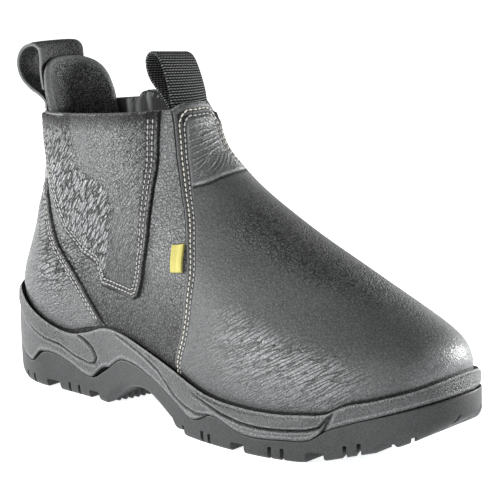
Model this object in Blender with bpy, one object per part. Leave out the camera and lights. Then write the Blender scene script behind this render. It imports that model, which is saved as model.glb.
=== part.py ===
"""Slip-on steel toe boot for the right foot, standing empty on its sole.

Lengths are in millimetres until a mesh is made. x runs from heel to toe, y towards the inner side of the
foot and z up. The back of the heel is at x = 0 and the floor at z = 0. Each finished mesh is moved so that
the origin is at the middle of the boot's footprint.
"""

from collections import namedtuple

import bmesh
import bpy
import numpy as np

# Driving dimensions
MM = 0.001
LENGTH = 308.0
WALL = 2.4
GAP = 0.35
COLUMNS = 68
UPPER_ROWS = 13
TOE_IN = 10.5
TOE_IN_FROM = 0.50
TOE_IN_POWER = 1.6
HEEL_END = 0.16
BALL_AT = 0.66
WAIST_AT = 0.38
WAIST_SPREAD = 0.17
LATERAL_WAIST = 0.5
TOE_TAPER = 0.08
LATERAL = -1
MEDIAL = 1
HALVINGS = 40
OUTLINE_SAMPLES = 2800
SHARP_ANGLE = 40.0
SLOPE_STEP = 0.002

# A section is one ring round the boot. height is its level at the heel, follow the share of the feather
# line's slope it takes, rise its climb from back to front. back and front are its ends along x. heel,
# lateral and medial are half widths, waist the pinch between heel and ball, heel_round and toe_round the
# lengths over which the ends close, and power how blunt the toe end is.
Section = namedtuple(
    "Section", "height follow rise back front heel lateral medial waist heel_round toe_round power")

UPPER = [
    Section(27.0, 1.00, 0.0, 7.5, 299.0, 33.5, 50.0, 46.0, 8.0, 41.0, 72.0, 2.15),
    Section(38.0, 1.00, 0.0, 4.5, 302.5, 35.5, 52.5, 48.5, 8.0, 42.0, 74.0, 2.20),
    Section(50.0, 1.00, 0.0, 3.5, 302.0, 35.5, 52.5, 48.5, 7.0, 43.0, 78.0, 2.20),
    Section(62.0, 0.95, 0.0, 5.0, 297.0, 34.5, 51.0, 47.0, 6.0, 43.0, 86.0, 2.15),
    Section(74.0, 0.80, 0.0, 9.5, 280.0, 33.5, 48.5, 45.5, 5.0, 43.0, 102.0, 2.10),
    Section(88.0, 0.55, 0.0, 15.0, 251.0, 32.5, 45.5, 44.0, 3.0, 43.0, 122.0, 2.05),
    Section(103.0, 0.30, 1.0, 19.5, 212.0, 32.5, 42.0, 41.5, 1.5, 43.0, 118.0, 2.00),
    Section(118.0, 0.10, 3.0, 22.5, 175.5, 32.0, 37.0, 37.0, 0.5, 44.0, 92.0, 2.05),
    Section(131.0, 0.00, 5.0, 24.0, 154.0, 32.0, 34.0, 34.0, 0.0, 45.0, 74.0, 2.20),
    Section(143.0, 0.00, 8.0, 25.0, 144.0, 32.0, 33.0, 33.0, 0.0, 45.0, 64.0, 2.40),
    Section(153.0, 0.00, 11.0, 25.5, 138.0, 32.0, 32.5, 32.5, 0.0, 45.0, 60.0, 2.50),
]
SOLE = Section(0.0, 0.0, 0.0, 0.0, LENGTH, 40.7, 58.5, 53.0, 9.0, 43.0, 90.0, 2.02)

# Heights along the boot, heel to toe
Level = namedtuple("Level", "x z")

FEATHER = [
    Level(0, 27), Level(60, 26), Level(110, 24), Level(160, 18.5), Level(205, 16), Level(250, 16.5),
    Level(280, 19), Level(308, 23),
]
TOP_EDGE = [
    Level(0, 53), Level(18, 50), Level(38, 41.5), Level(52, 36), Level(67, 34), Level(80, 37),
    Level(97, 42.5), Level(113, 42.3), Level(130, 39.5), Level(161, 33.5), Level(187, 25.6), Level(217, 22.8),
    Level(249, 25), Level(261, 27), Level(268, 31), Level(282, 34.8), Level(303, 42.8), Level(308, 46.5),
]
PARTING = [
    Level(0, 20), Level(20, 18.5), Level(35, 14.3), Level(45, 21.2), Level(53, 22.5), Level(65, 19.5),
    Level(86, 13.9), Level(97, 20), Level(111, 28.4), Level(122, 28.9), Level(141, 25.4), Level(165, 17.4),
    Level(178, 11.5), Level(193, 16.4), Level(214, 10.8), Level(239, 11.3), Level(253, 13), Level(261, 18),
    Level(271, 22.3), Level(286, 27), Level(308, 34),
]
TREAD_LINE = [
    Level(0, 5.5), Level(14, 1.5), Level(28, 0), Level(95, 0), Level(101, 4.5), Level(110, 11),
    Level(124, 15.5), Level(139, 14.3), Level(150, 10.3), Level(160, 5), Level(170, 0), Level(246, 0),
    Level(257, 1.5), Level(272, 5), Level(287, 8.5), Level(298, 13), Level(308, 19.5),
]

# Side wall of the sole, floor to lip: share of its height, inset from the outline, share of the way to the lip
WallRow = namedtuple("WallRow", "share inset lip")

SOLE_WALL = [
    WallRow(0.00, 3.5, 0.0), WallRow(0.07, 1.2, 0.0), WallRow(0.22, 0.0, 0.0), WallRow(0.50, 0.0, 0.08),
    WallRow(0.75, 0.0, 0.35), WallRow(0.93, 0.0, 0.8), WallRow(1.00, 0.0, 1.0),
]
LIP = 2.8
INNER_WALL_SHARES = (1.0, 0.66, 0.33, 0.0)
FLOOR_THICKNESS = 5.0
PARTING_GAP = 0.3
BLADE_REACH = 12.0
BLADE_RIM = 3.0
BLADE_CORE = 5.5
BLADE_DEPTH = -30.0

# Tread: grooves right across, slits in from both edges, and channels along the boot beside its centre line
CrossGroove = namedtuple("CrossGroove", "x width depth")
EdgeSlit = namedtuple("EdgeSlit", "x width reach depth")
Channel = namedtuple("Channel", "start end side width depth")

CROSS_GROOVES = [
    CrossGroove(50, 8, 4.5), CrossGroove(86, 6, 4.5), CrossGroove(177, 5, 4.5), CrossGroove(211, 8.5, 4.5),
    CrossGroove(255, 8.5, 4.5), CrossGroove(287, 6, 4.0),
]
EDGE_SLITS = [
    EdgeSlit(31, 2.2, 13, 4.0), EdgeSlit(62, 2.2, 13, 4.0), EdgeSlit(69, 2.2, 13, 4.0),
    EdgeSlit(185, 2.2, 16, 4.0), EdgeSlit(191, 2.2, 16, 4.0), EdgeSlit(231, 2.2, 16, 4.0),
    EdgeSlit(238, 2.2, 16, 4.0), EdgeSlit(269, 2.2, 16, 4.0), EdgeSlit(275, 2.2, 16, 4.0),
]
CHANNELS = [
    Channel(10, 94, -15, 5, 4.5), Channel(10, 94, 15, 5, 4.5),
    Channel(172, 287, -21, 6, 4.5), Channel(172, 287, 19, 6, 4.5),
]
CUT_BELOW = -5.0
CUT_BEYOND = 90.0
CHANNEL_STEPS = 6

# Insole
INSOLE_CLEARANCE = 0.5
INSOLE_LIFT = 0.2
INSOLE_TOP = 0.05

# Gore covers: each row is a level line across the flap, from its rear edge to its front edge
FlapRow = namedtuple("FlapRow", "height rise rear front")

FLAP = [
    FlapRow(65.0, -1.5, 92.0, 121.0), FlapRow(72.0, -1.0, 88.5, 128.5), FlapRow(77.0, 0.0, 87.0, 131.0),
    FlapRow(81.0, 1.0, 75.0, 132.5), FlapRow(91.0, 1.0, 61.0, 134.7), FlapRow(101.0, 1.0, 55.0, 133.8),
    FlapRow(113.0, 1.0, 49.0, 131.5), FlapRow(128.0, 2.0, 43.0, 129.0), FlapRow(142.0, 5.0, 37.0, 128.0),
    FlapRow(153.0, 8.8, 34.0, 127.5),
]
FLAP_COLUMNS = 11
FLAP_LIFT = 0.75
FLAP_THICKNESS = 1.8

# Elastic gores, inside the wall
GORE = [
    FlapRow(96.0, 0.0, 78.0, 104.0), FlapRow(110.0, 0.0, 68.0, 110.0), FlapRow(126.0, 1.0, 61.0, 114.0),
    FlapRow(142.0, 3.0, 57.0, 117.0), FlapRow(154.5, 4.0, 56.0, 117.0),
]
GORE_COLUMNS = 8
GORE_CLEARANCE = 0.8
GORE_THICKNESS = 1.6

# Heel counter: front edge from the sole up to its top corner, and the height of its top at the back
CounterRow = namedtuple("CounterRow", "z x")

COUNTER_EDGE = [
    CounterRow(43, 95), CounterRow(52, 86), CounterRow(61, 77), CounterRow(70, 68), CounterRow(79, 59),
    CounterRow(87, 53.6), CounterRow(97, 50), CounterRow(108, 46.4), CounterRow(118, 42),
]
COUNTER_BACK = 104.0
COUNTER_COLUMNS = 19
COUNTER_ROWS = 7
COUNTER_LIFT = 0.8
COUNTER_THICKNESS = 1.4
COUNTER_FOOT = 0.6
COUNTER_EDGE_POWER = 4

# Heel tab
TAB_ANGLE = 0.98
TAB_LOW = 128.0
TAB_SHOULDER = 156.0
TAB_TOP = 182.0
TAB_THICKNESS = 4.0
TAB_COLUMNS = 13
TAB_ROWS = 7
TAB_SIDE = 0.985

# Pull loops: centre line of the strap seen from the side, and how far it takes the bend of what it lies on
LoopPoint = namedtuple("LoopPoint", "x z bend")

HEEL_LOOP = [
    LoopPoint(26.4, 154.6, 1.0), LoopPoint(26.2, 158.5, 1.0), LoopPoint(23.0, 162.0, 0.8),
    LoopPoint(17.0, 165.6, 0.4), LoopPoint(12.0, 170.8, 0.1), LoopPoint(10.0, 177.5, 0.0),
    LoopPoint(11.0, 184.0, 0.1), LoopPoint(14.8, 188.6, 0.3), LoopPoint(20.0, 190.6, 0.6),
    LoopPoint(24.8, 188.6, 0.9), LoopPoint(26.4, 183.5, 1.0), LoopPoint(26.4, 174.0, 1.0),
    LoopPoint(26.4, 165.5, 1.0),
]
HEEL_LOOP_WIDTH = 32.0
HEEL_LOOP_THICKNESS = 2.2
HEEL_LOOP_BEND = 23.0

FRONT_LOOP = [
    LoopPoint(138.4, 149.0, 1.0), LoopPoint(136.6, 156.0, 1.0), LoopPoint(133.8, 163.5, 1.0),
    LoopPoint(131.6, 172.0, 0.7), LoopPoint(127.6, 182.0, 0.4), LoopPoint(123.4, 189.4, 0.2),
    LoopPoint(119.4, 192.0, 0.1), LoopPoint(115.4, 191.4, 0.1), LoopPoint(112.8, 187.0, 0.1),
    LoopPoint(115.4, 179.0, 0.3), LoopPoint(123.4, 171.4, 0.6), LoopPoint(130.4, 164.6, 0.9),
    LoopPoint(133.8, 157.0, 1.0), LoopPoint(135.8, 150.0, 1.0),
]
FRONT_LOOP_WIDTH = 26.0
FRONT_LOOP_THICKNESS = 1.8
FRONT_LOOP_BEND = -28.0
LOOP_STEPS = 27
LOOP_COLUMNS = 4

# Side tag, caught in the front seam
TAG = [FlapRow(84.5, 0.8, 155.3, 163.4), FlapRow(98.0, 0.8, 151.5, 158.6)]
TAG_COLUMNS = 4
TAG_LIFT = 0.6
TAG_THICKNESS = 0.8

# Colour, roughness and metallic value of each finish
Finish = namedtuple("Finish", "color roughness metallic")

FINISHES = {
    "outsole_compound": Finish((0.060, 0.062, 0.062), 0.60, 0.0),
    "midsole_foam": Finish((0.070, 0.072, 0.072), 0.72, 0.0),
    "footbed_cloth": Finish((0.030, 0.030, 0.032), 0.95, 0.0),
    "black_leather": Finish((0.055, 0.057, 0.058), 0.45, 0.0),
    "strap_leather": Finish((0.030, 0.031, 0.031), 0.75, 0.0),
    "black_suede": Finish((0.016, 0.016, 0.017), 0.98, 0.0),
    "black_elastic": Finish((0.030, 0.030, 0.031), 0.90, 0.0),
    "black_webbing": Finish((0.022, 0.022, 0.023), 0.85, 0.0),
    "yellow_cloth": Finish((0.750, 0.560, 0.090), 0.80, 0.0),
}


# Curves and sections


def curve(places, values, at):
    """Smooth curve through values at places: cubic pieces whose slopes come from the neighbouring values."""
    places = np.asarray(places, float)
    values = np.asarray(values, float)
    slopes = np.gradient(values, places)
    at = np.clip(at, places[0], places[-1])
    i = np.clip(np.searchsorted(places, at) - 1, 0, len(places) - 2)
    span = places[i + 1] - places[i]
    s = (at - places[i]) / span
    ends = values[i] + (values[i + 1] - values[i]) * s * s * (3 - 2 * s)
    bend = s * (1 - s) * span * (slopes[i] * (1 - s) - slopes[i + 1] * s)
    return ends + bend


def level(table, x):
    """Height of a line along the boot at x."""
    return curve([row.x for row in table], [row.z for row in table], x)


def tread_line(x):
    """Underside of the sole: flat on the floor under heel and ball, hollow at the arch, sprung at the toe."""
    return np.maximum(level(TREAD_LINE, x), 0.0)


def ease(x):
    """Soft step from 0 to 1."""
    x = np.clip(x, 0.0, 1.0)
    return x * x * (3 - 2 * x)


def lean(x):
    """Sideways curve of the last's centre line towards the inner side of the toe."""
    return TOE_IN * np.clip((x / LENGTH - TOE_IN_FROM) / (1 - TOE_IN_FROM), 0, 1) ** TOE_IN_POWER


def section(t):
    """Section values at height share t, 0 at the feather line and 1 at the collar."""
    shares = np.linspace(0, 1, len(UPPER))
    return Section(*[curve(shares, column, t) for column in zip(*UPPER)])


def plan(s, phi):
    """x and y of section s at angle phi: heel 0, lateral side, toe pi, medial side."""
    share = (1 - np.cos(phi)) / 2
    x = s.back + (s.front - s.back) * share
    lateral = np.sin(phi) >= 0
    ball = np.where(lateral, s.lateral, s.medial)
    pinch = s.waist * np.where(lateral, LATERAL_WAIST, 1.0)
    half = s.heel + (ball - s.heel) * ease((share - HEEL_END) / (BALL_AT - HEEL_END))
    half = half - pinch * np.exp(-(((share - WAIST_AT) / WAIST_SPREAD) ** 2))
    half = half * (1 - TOE_TAPER * ease((share - BALL_AT) / (1 - BALL_AT)))
    heel_end = 1 - np.clip((x - s.back) / s.heel_round, 0, 1)
    toe_end = 1 - np.clip((s.front - x) / s.toe_round, 0, 1)
    half = half * np.sqrt(1 - heel_end**2) * (1 - toe_end**s.power) ** (1 / s.power)
    return x, lean(x) + np.where(lateral, -half, half)


def upper_point(t, phi):
    """Point of the upper's outer face at height share t and angle phi."""
    s = section(t)
    x, y = plan(s, phi)
    share = (1 - np.cos(phi)) / 2
    z = s.height + s.rise * share + s.follow * (level(FEATHER, x) - FEATHER[0].z)
    return np.stack([x, y, z], axis=-1)


def upper_normal(t, phi):
    """Unit normal of the upper's outer face, pointing out of the boot."""
    along = upper_point(t, phi + SLOPE_STEP) - upper_point(t, phi - SLOPE_STEP)
    above = np.minimum(t + SLOPE_STEP, 1.0)
    below = np.maximum(t - SLOPE_STEP, 0.0)
    up = upper_point(above, phi) - upper_point(below, phi)
    normal = np.cross(along, up)
    return normal / np.linalg.norm(normal, axis=-1, keepdims=True)


def beside_upper(t, phi, distance):
    """Point at a distance outside the upper's outer face, or inside it where the distance is negative."""
    return upper_point(t, phi) + distance * upper_normal(t, phi)


def climb(height, target):
    """Height share at which the rising function height reaches target, by halving the interval."""
    low = np.zeros_like(target)
    high = np.ones_like(target)
    for _ in range(HALVINGS):
        middle = (low + high) / 2
        above = height(middle) > target
        high = np.where(above, middle, high)
        low = np.where(above, low, middle)
    return (low + high) / 2


def on_side(x, z, side):
    """Height share and angle of the upper's point at x and z on the lateral or medial side."""

    def height(t):
        s = section(t)
        share = np.clip((x - s.back) / (s.front - s.back), 0, 1)
        return s.height + s.rise * share + s.follow * (level(FEATHER, x) - FEATHER[0].z)

    t = climb(height, z)
    s = section(t)
    phi = np.arccos(1 - 2 * np.clip((x - s.back) / (s.front - s.back), 0, 1))
    return t, (phi if side == LATERAL else 2 * np.pi - phi)


def column_angles():
    """Angles of the columns, evenly spaced along the sole's outline and paired across the boot."""
    fine = np.linspace(0, np.pi, OUTLINE_SAMPLES)
    x, y = plan(SOLE, fine)
    run = np.concatenate([[0], np.cumsum(np.hypot(np.diff(x), np.diff(y)))])
    half = np.interp(np.linspace(0, run[-1], COLUMNS // 2 + 1), run, fine)
    return np.concatenate([half, 2 * np.pi - half[-2:0:-1]])


PHI = column_angles()


def outward(ring):
    """Level unit normals of a closed ring that runs from the heel along the lateral side."""
    run = np.roll(ring[:, :2], -1, axis=0) - np.roll(ring[:, :2], 1, axis=0)
    normal = np.column_stack([run[:, 1], -run[:, 0], np.zeros(len(run))])
    return normal / np.linalg.norm(normal, axis=1, keepdims=True)


def sole_outline():
    """Widest outline of the sole, on the floor."""
    x, y = plan(SOLE, PHI)
    return np.column_stack([x, y, np.zeros(COLUMNS)])


def outline_ring(inset, z):
    """Sole outline moved in by inset, at height z."""
    outline = sole_outline()
    ring = outline - inset * outward(outline)
    ring[:, 2] = z
    return ring


MIDDLE = (sole_outline().max(axis=0) + sole_outline().min(axis=0)) / 2


# Meshes


def new_mesh(name, vertices, faces):
    """Closed mesh in metres, moved to the middle of the footprint, with its faces pointing out."""
    mesh = bpy.data.meshes.new(name)
    mesh.from_pydata(((vertices - MIDDLE) * MM).tolist(), [], faces)
    work = bmesh.new()
    work.from_mesh(mesh)
    bmesh.ops.triangulate(work, faces=work.faces)
    bmesh.ops.recalc_face_normals(work, faces=work.faces)
    work.to_mesh(mesh)
    work.free()
    return mesh


def across(start):
    """Faces that close a ring of columns by strips from side to side, for the ring that begins at start."""
    half = COLUMNS // 2
    faces = [(start, start + 1, start + COLUMNS - 1)]
    for j in range(1, half - 1):
        faces.append((start + j, start + j + 1, start + COLUMNS - j - 1, start + COLUMNS - j))
    faces.append((start + half - 1, start + half, start + half + 1))
    return faces


def ring_faces(rings, closed_loop):
    """Faces between neighbouring rings, and from the last ring back to the first where the loop is closed."""
    faces = []
    for i in range(rings if closed_loop else rings - 1):
        low = i * COLUMNS
        high = ((i + 1) % rings) * COLUMNS
        for j in range(COLUMNS):
            k = (j + 1) % COLUMNS
            faces.append((low + j, low + k, high + k, high + j))
    return faces


def lofted(name, rings):
    """Solid through rings, closed across the first and the last of them."""
    faces = across(0) + ring_faces(len(rings), False) + across((len(rings) - 1) * COLUMNS)
    return new_mesh(name, np.concatenate(rings), faces)


def slab(name, inner, outer):
    """Solid between two grids of points, closed round their rim."""
    rows, columns, _ = inner.shape
    index = np.arange(rows * columns).reshape(rows, columns)
    rim = np.concatenate([index[0, :-1], index[:-1, -1], index[-1, :0:-1], index[:0:-1, 0]])
    faces = []
    for shift in (0, rows * columns):
        grid = index + shift
        quads = np.stack([grid[:-1, :-1], grid[:-1, 1:], grid[1:, 1:], grid[1:, :-1]], axis=-1)
        faces += quads.reshape(-1, 4).tolist()
    for a, b in zip(rim, np.roll(rim, -1)):
        faces.append((int(a), int(b), int(b + rows * columns), int(a + rows * columns)))
    return new_mesh(name, np.concatenate([inner.reshape(-1, 3), outer.reshape(-1, 3)]), faces)


def blocks(name, corners):
    """Closed six-sided prisms, each from its eight corners, four below and four above, in one mesh."""
    sides = [(0, 1, 2, 3), (4, 5, 6, 7), (0, 1, 5, 4), (1, 2, 6, 5), (2, 3, 7, 6), (3, 0, 4, 7)]
    faces = []
    for i in range(len(corners)):
        faces += [tuple(8 * i + k for k in side) for side in sides]
    return new_mesh(name, np.concatenate(corners), faces)


def box_corners(low, high):
    """Eight corners of an upright box."""
    base = [(low[0], low[1]), (high[0], low[1]), (high[0], high[1]), (low[0], high[1])]
    return np.array([(x, y, z) for z in (low[2], high[2]) for x, y in base], float)


# Objects


def finish(name):
    """Material with the finish's colour, roughness and metallic value."""
    material = bpy.data.materials.get(name)
    if material is None:
        material = bpy.data.materials.new(name)
        material.use_nodes = True
        shader = material.node_tree.nodes["Principled BSDF"]
        shader.inputs["Base Color"].default_value = (*FINISHES[name].color, 1.0)
        shader.inputs["Roughness"].default_value = FINISHES[name].roughness
        shader.inputs["Metallic"].default_value = FINISHES[name].metallic
    return material


def piece(mesh, material):
    """Object for one sub-part, shaded smooth except at its sharp edges."""
    obj = bpy.data.objects.new(mesh.name, mesh)
    bpy.context.scene.collection.objects.link(obj)
    mesh.shade_smooth()
    mesh.set_sharp_from_angle(angle=np.radians(SHARP_ANGLE))
    mesh.materials.append(finish(material))
    return obj


def cutter(mesh):
    """Object that only shapes others."""
    obj = bpy.data.objects.new(mesh.name, mesh)
    bpy.context.scene.collection.objects.link(obj)
    obj.hide_render = True
    obj.display_type = "WIRE"
    return obj


def boolean(obj, operation, tool):
    """Cut obj by tool, or keep only what lies inside it."""
    modifier = obj.modifiers.new(tool.name, "BOOLEAN")
    modifier.operation = operation
    modifier.solver = "EXACT"
    modifier.object = tool


# Sole


def sole_form(name):
    """Whole sole as a cup: tread face, side wall, lip, inner wall beside the upper and floor under it."""

    def above_edge(t):
        point = upper_point(t, PHI)
        return point[:, 2] - level(TOP_EDGE, point[:, 0])

    edge_share = climb(above_edge, np.zeros(COLUMNS))
    edge = beside_upper(edge_share, PHI, GAP)
    lip = edge + LIP * outward(edge)
    rings = []
    for row in SOLE_WALL:
        wall = outline_ring(row.inset, 0.0)
        ring = wall + row.lip * (lip - wall)
        ground = tread_line(wall[:, 0])
        ring[:, 2] = ground + row.share * (lip[:, 2] - ground)
        rings.append(ring)
    for share in INNER_WALL_SHARES:
        rings.append(beside_upper(share * edge_share, PHI, GAP))
    floor = rings[-1].copy()
    floor[:, 2] = level(FEATHER, floor[:, 0]) - GAP
    rings.append(floor)
    return lofted(name, rings)


def parting_blade(name, lift):
    """Block below the parting line: wavy at the side wall, and no higher than the midsole's floor inside."""
    rim = outline_ring(BLADE_RIM, 0.0)
    wave = level(PARTING, rim[:, 0]) + lift
    core = outline_ring(BLADE_CORE, 0.0)
    floor = level(FEATHER, core[:, 0]) - FLOOR_THICKNESS
    core[:, 2] = np.minimum(level(PARTING, core[:, 0]), floor) + lift
    rim[:, 2] = wave
    beyond = outline_ring(-BLADE_REACH, wave)
    return lofted(name, [core, rim, beyond, outline_ring(-BLADE_REACH, BLADE_DEPTH)])


def cross_grooves():
    """Boxes for the grooves right across the tread."""
    corners = []
    for groove in CROSS_GROOVES:
        low = (groove.x - groove.width / 2, -CUT_BEYOND, CUT_BELOW)
        high = (groove.x + groove.width / 2, CUT_BEYOND, float(tread_line(groove.x)) + groove.depth)
        corners.append(box_corners(low, high))
    return cutter(blocks("cross_grooves", corners))


def edge_slits():
    """Boxes for the slits that run in from both edges of the tread."""
    outline = sole_outline()
    half = COLUMNS // 2 + 1
    corners = []
    for slit in EDGE_SLITS:
        top = float(tread_line(slit.x)) + slit.depth
        lateral = np.interp(slit.x, outline[:half, 0], outline[:half, 1]) + slit.reach
        medial_x = np.append(outline[half - 1:, 0], outline[0, 0])[::-1]
        medial_y = np.append(outline[half - 1:, 1], outline[0, 1])[::-1]
        medial = np.interp(slit.x, medial_x, medial_y) - slit.reach
        for low_y, high_y in ((-CUT_BEYOND, lateral), (medial, CUT_BEYOND)):
            low = (slit.x - slit.width / 2, low_y, CUT_BELOW)
            high = (slit.x + slit.width / 2, high_y, top)
            corners.append(box_corners(low, high))
    return cutter(blocks("edge_slits", corners))


def long_channel(name, channel):
    """Strip for one channel along the tread, which follows the curve of the last."""
    x = np.linspace(channel.start, channel.end, CHANNEL_STEPS)
    middle = lean(x) + channel.side
    near = middle - channel.width / 2
    far = middle + channel.width / 2
    high = tread_line(x) + channel.depth
    low = np.full(CHANNEL_STEPS, CUT_BELOW)
    below = np.stack([np.column_stack([x, y, low]) for y in (near, far)])
    above = np.stack([np.column_stack([x, y, high]) for y in (near, far)])
    return cutter(slab(name, below, above))


def make_outsole():
    """Outsole: the sole below the parting line, with its lugs cut out of the tread."""
    outsole = piece(sole_form("outsole"), "outsole_compound")
    boolean(outsole, "INTERSECT", cutter(parting_blade("blade_below", -PARTING_GAP / 2)))
    boolean(outsole, "DIFFERENCE", cross_grooves())
    boolean(outsole, "DIFFERENCE", edge_slits())
    for i, channel in enumerate(CHANNELS):
        boolean(outsole, "DIFFERENCE", long_channel(f"channel_{i}", channel))


def make_midsole():
    """Midsole: the sole above the parting line, with its side wall, toe bumper and floor."""
    midsole = piece(sole_form("midsole"), "midsole_foam")
    boolean(midsole, "DIFFERENCE", cutter(parting_blade("blade_above", PARTING_GAP / 2)))


def make_insole():
    """Footbed on the midsole's floor, inside the foot of the upper."""
    foot = beside_upper(np.zeros(COLUMNS), PHI, -WALL - INSOLE_CLEARANCE)
    foot[:, 2] = level(FEATHER, foot[:, 0]) + INSOLE_LIFT
    top = beside_upper(np.full(COLUMNS, INSOLE_TOP), PHI, -WALL - INSOLE_CLEARANCE)
    piece(lofted("insole", [foot, top]), "footbed_cloth")


# Upper


def make_upper():
    """Hollow wall from the feather line to the collar, open above and underneath."""
    rings = []
    for t in np.linspace(0, 1, UPPER_ROWS):
        rings.append(beside_upper(np.full(COLUMNS, t), PHI, 0.0))
    for t in np.linspace(1, 0, UPPER_ROWS):
        rings.append(beside_upper(np.full(COLUMNS, t), PHI, -WALL))
    mesh = new_mesh("upper", np.concatenate(rings), ring_faces(len(rings), True))
    piece(mesh, "black_leather")


def panel(name, table, columns, side, lift, thickness):
    """Slab over the rows of a table on one side of the upper, at a lift from its outer face."""
    across_row = np.linspace(0, 1, columns)
    x = np.array([row.rear + (row.front - row.rear) * across_row for row in table])
    z = np.array([row.height + row.rise * across_row for row in table])
    t, phi = on_side(x, z, side)
    return slab(name, beside_upper(t, phi, lift), beside_upper(t, phi, lift + thickness))


def make_gores():
    """Elastic gores inside the wall and the leather flaps that cover them outside."""
    for label, side in (("lateral", LATERAL), ("medial", MEDIAL)):
        cover = panel(f"gore_cover_{label}", FLAP, FLAP_COLUMNS, side, FLAP_LIFT, FLAP_THICKNESS)
        piece(cover, "black_leather")
        inside = -WALL - GORE_CLEARANCE - GORE_THICKNESS
        gore = panel(f"elastic_gore_{label}", GORE, GORE_COLUMNS, side, inside, GORE_THICKNESS)
        piece(gore, "black_elastic")


def make_side_tag():
    """Small cloth tag beside the front seam on the lateral side."""
    piece(panel("side_tag", TAG, TAG_COLUMNS, LATERAL, TAG_LIFT, TAG_THICKNESS), "yellow_cloth")


def make_heel_counter():
    """Leather counter round the heel: its foot follows the sole's edge, its front edges slant up and back."""
    r = np.linspace(0, 1, COUNTER_ROWS)[:, None]
    s = np.linspace(-1, 1, COUNTER_COLUMNS)[None, :]
    heights = [row.z for row in COUNTER_EDGE]
    edge_z = heights[0] + (heights[-1] - heights[0]) * r
    edge_x = curve(heights, [row.x for row in COUNTER_EDGE], edge_z)
    edge_phi = on_side(edge_x, edge_z, LATERAL)[1]
    phi = s * edge_phi
    level_z = np.broadcast_to(edge_z, phi.shape)
    around = upper_point(climb(lambda t: upper_point(t, phi)[..., 2], level_z), phi)
    foot = level(TOP_EDGE, around[..., 0]) + COUNTER_FOOT
    crown = COUNTER_BACK + (heights[-1] - COUNTER_BACK) * s**2
    hold = np.abs(s) ** COUNTER_EDGE_POWER
    z = (foot + (crown - foot) * r) * (1 - hold) + np.maximum(edge_z, foot) * hold
    t = climb(lambda t: upper_point(t, phi)[..., 2], z)
    inner = beside_upper(t, phi, COUNTER_LIFT)
    outer = beside_upper(t, phi, COUNTER_LIFT + COUNTER_THICKNESS)
    piece(slab("heel_counter", inner, outer), "black_leather")


def make_heel_tab():
    """Padded lobe inside the back of the collar, rising above it to a round top."""
    s = TAB_SIDE * np.linspace(-1, 1, TAB_COLUMNS)[None, :]
    r = np.linspace(0, 1, TAB_ROWS)[:, None]
    phi = TAB_ANGLE * s
    crown = TAB_SHOULDER + (TAB_TOP - TAB_SHOULDER) * np.sqrt(1 - s**2)
    z = TAB_LOW + (crown - TAB_LOW) * r
    t = climb(lambda t: upper_point(t, phi)[..., 2], z)
    faces = []
    for distance in (WALL + GAP, WALL + GAP + TAB_THICKNESS):
        face = beside_upper(t, phi, -distance)
        face[..., 2] = z
        faces.append(face)
    piece(slab("heel_tab", *faces), "black_suede")


# Pull loops


def strap(name, table, width, thickness, bend):
    """Flat strap along a side-view line, bent across its width where it lies on a round piece."""
    places = np.arange(len(table), dtype=float)
    fine = np.linspace(0, places[-1], LOOP_STEPS)
    x = curve(places, [row.x for row in table], fine)
    z = curve(places, [row.z for row in table], fine)
    take = curve(places, [row.bend for row in table], fine)
    run = np.column_stack([np.gradient(x), np.gradient(z)])
    run /= np.linalg.norm(run, axis=1, keepdims=True)
    y = np.linspace(-width / 2, width / 2, LOOP_COLUMNS)
    sag = take[:, None] * (y**2 / (2 * bend))[None, :]
    faces = []
    for shift in (-thickness / 2, thickness / 2):
        face_x = (x + shift * run[:, 1])[:, None] + sag
        face_z = (z - shift * run[:, 0])[:, None]
        faces.append(np.stack(np.broadcast_arrays(face_x, y, face_z), axis=-1))
    return slab(name, *faces)


def make_pull_loops():
    """Leather loop behind the heel tab and webbing loop inside the front of the collar."""
    heel = strap("heel_pull_loop", HEEL_LOOP, HEEL_LOOP_WIDTH, HEEL_LOOP_THICKNESS, HEEL_LOOP_BEND)
    piece(heel, "strap_leather")
    front = strap("front_pull_loop", FRONT_LOOP, FRONT_LOOP_WIDTH, FRONT_LOOP_THICKNESS, FRONT_LOOP_BEND)
    piece(front, "black_webbing")


def main():
    """Clear the scene and make every piece of the boot."""
    for obj in list(bpy.data.objects):
        bpy.data.objects.remove(obj, do_unlink=True)
    make_outsole()
    make_midsole()
    make_insole()
    make_upper()
    make_heel_counter()
    make_gores()
    make_side_tag()
    make_heel_tab()
    make_pull_loops()


main()
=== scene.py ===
# %% [markdown]
# # Steel toe boot: the looks
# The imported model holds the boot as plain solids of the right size. This lesson puts a finely shaped and
# finished piece over each of them: pebbled leather panels with their seams, a two-part moulded sole, a
# suede heel tab, two pull loops and the gathered elastic. Every length below is in millimetres, in the
# boot's own directions: x from heel to toe, y towards the inner side of the foot, z up from the floor.

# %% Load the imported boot
from collections import namedtuple

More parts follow.
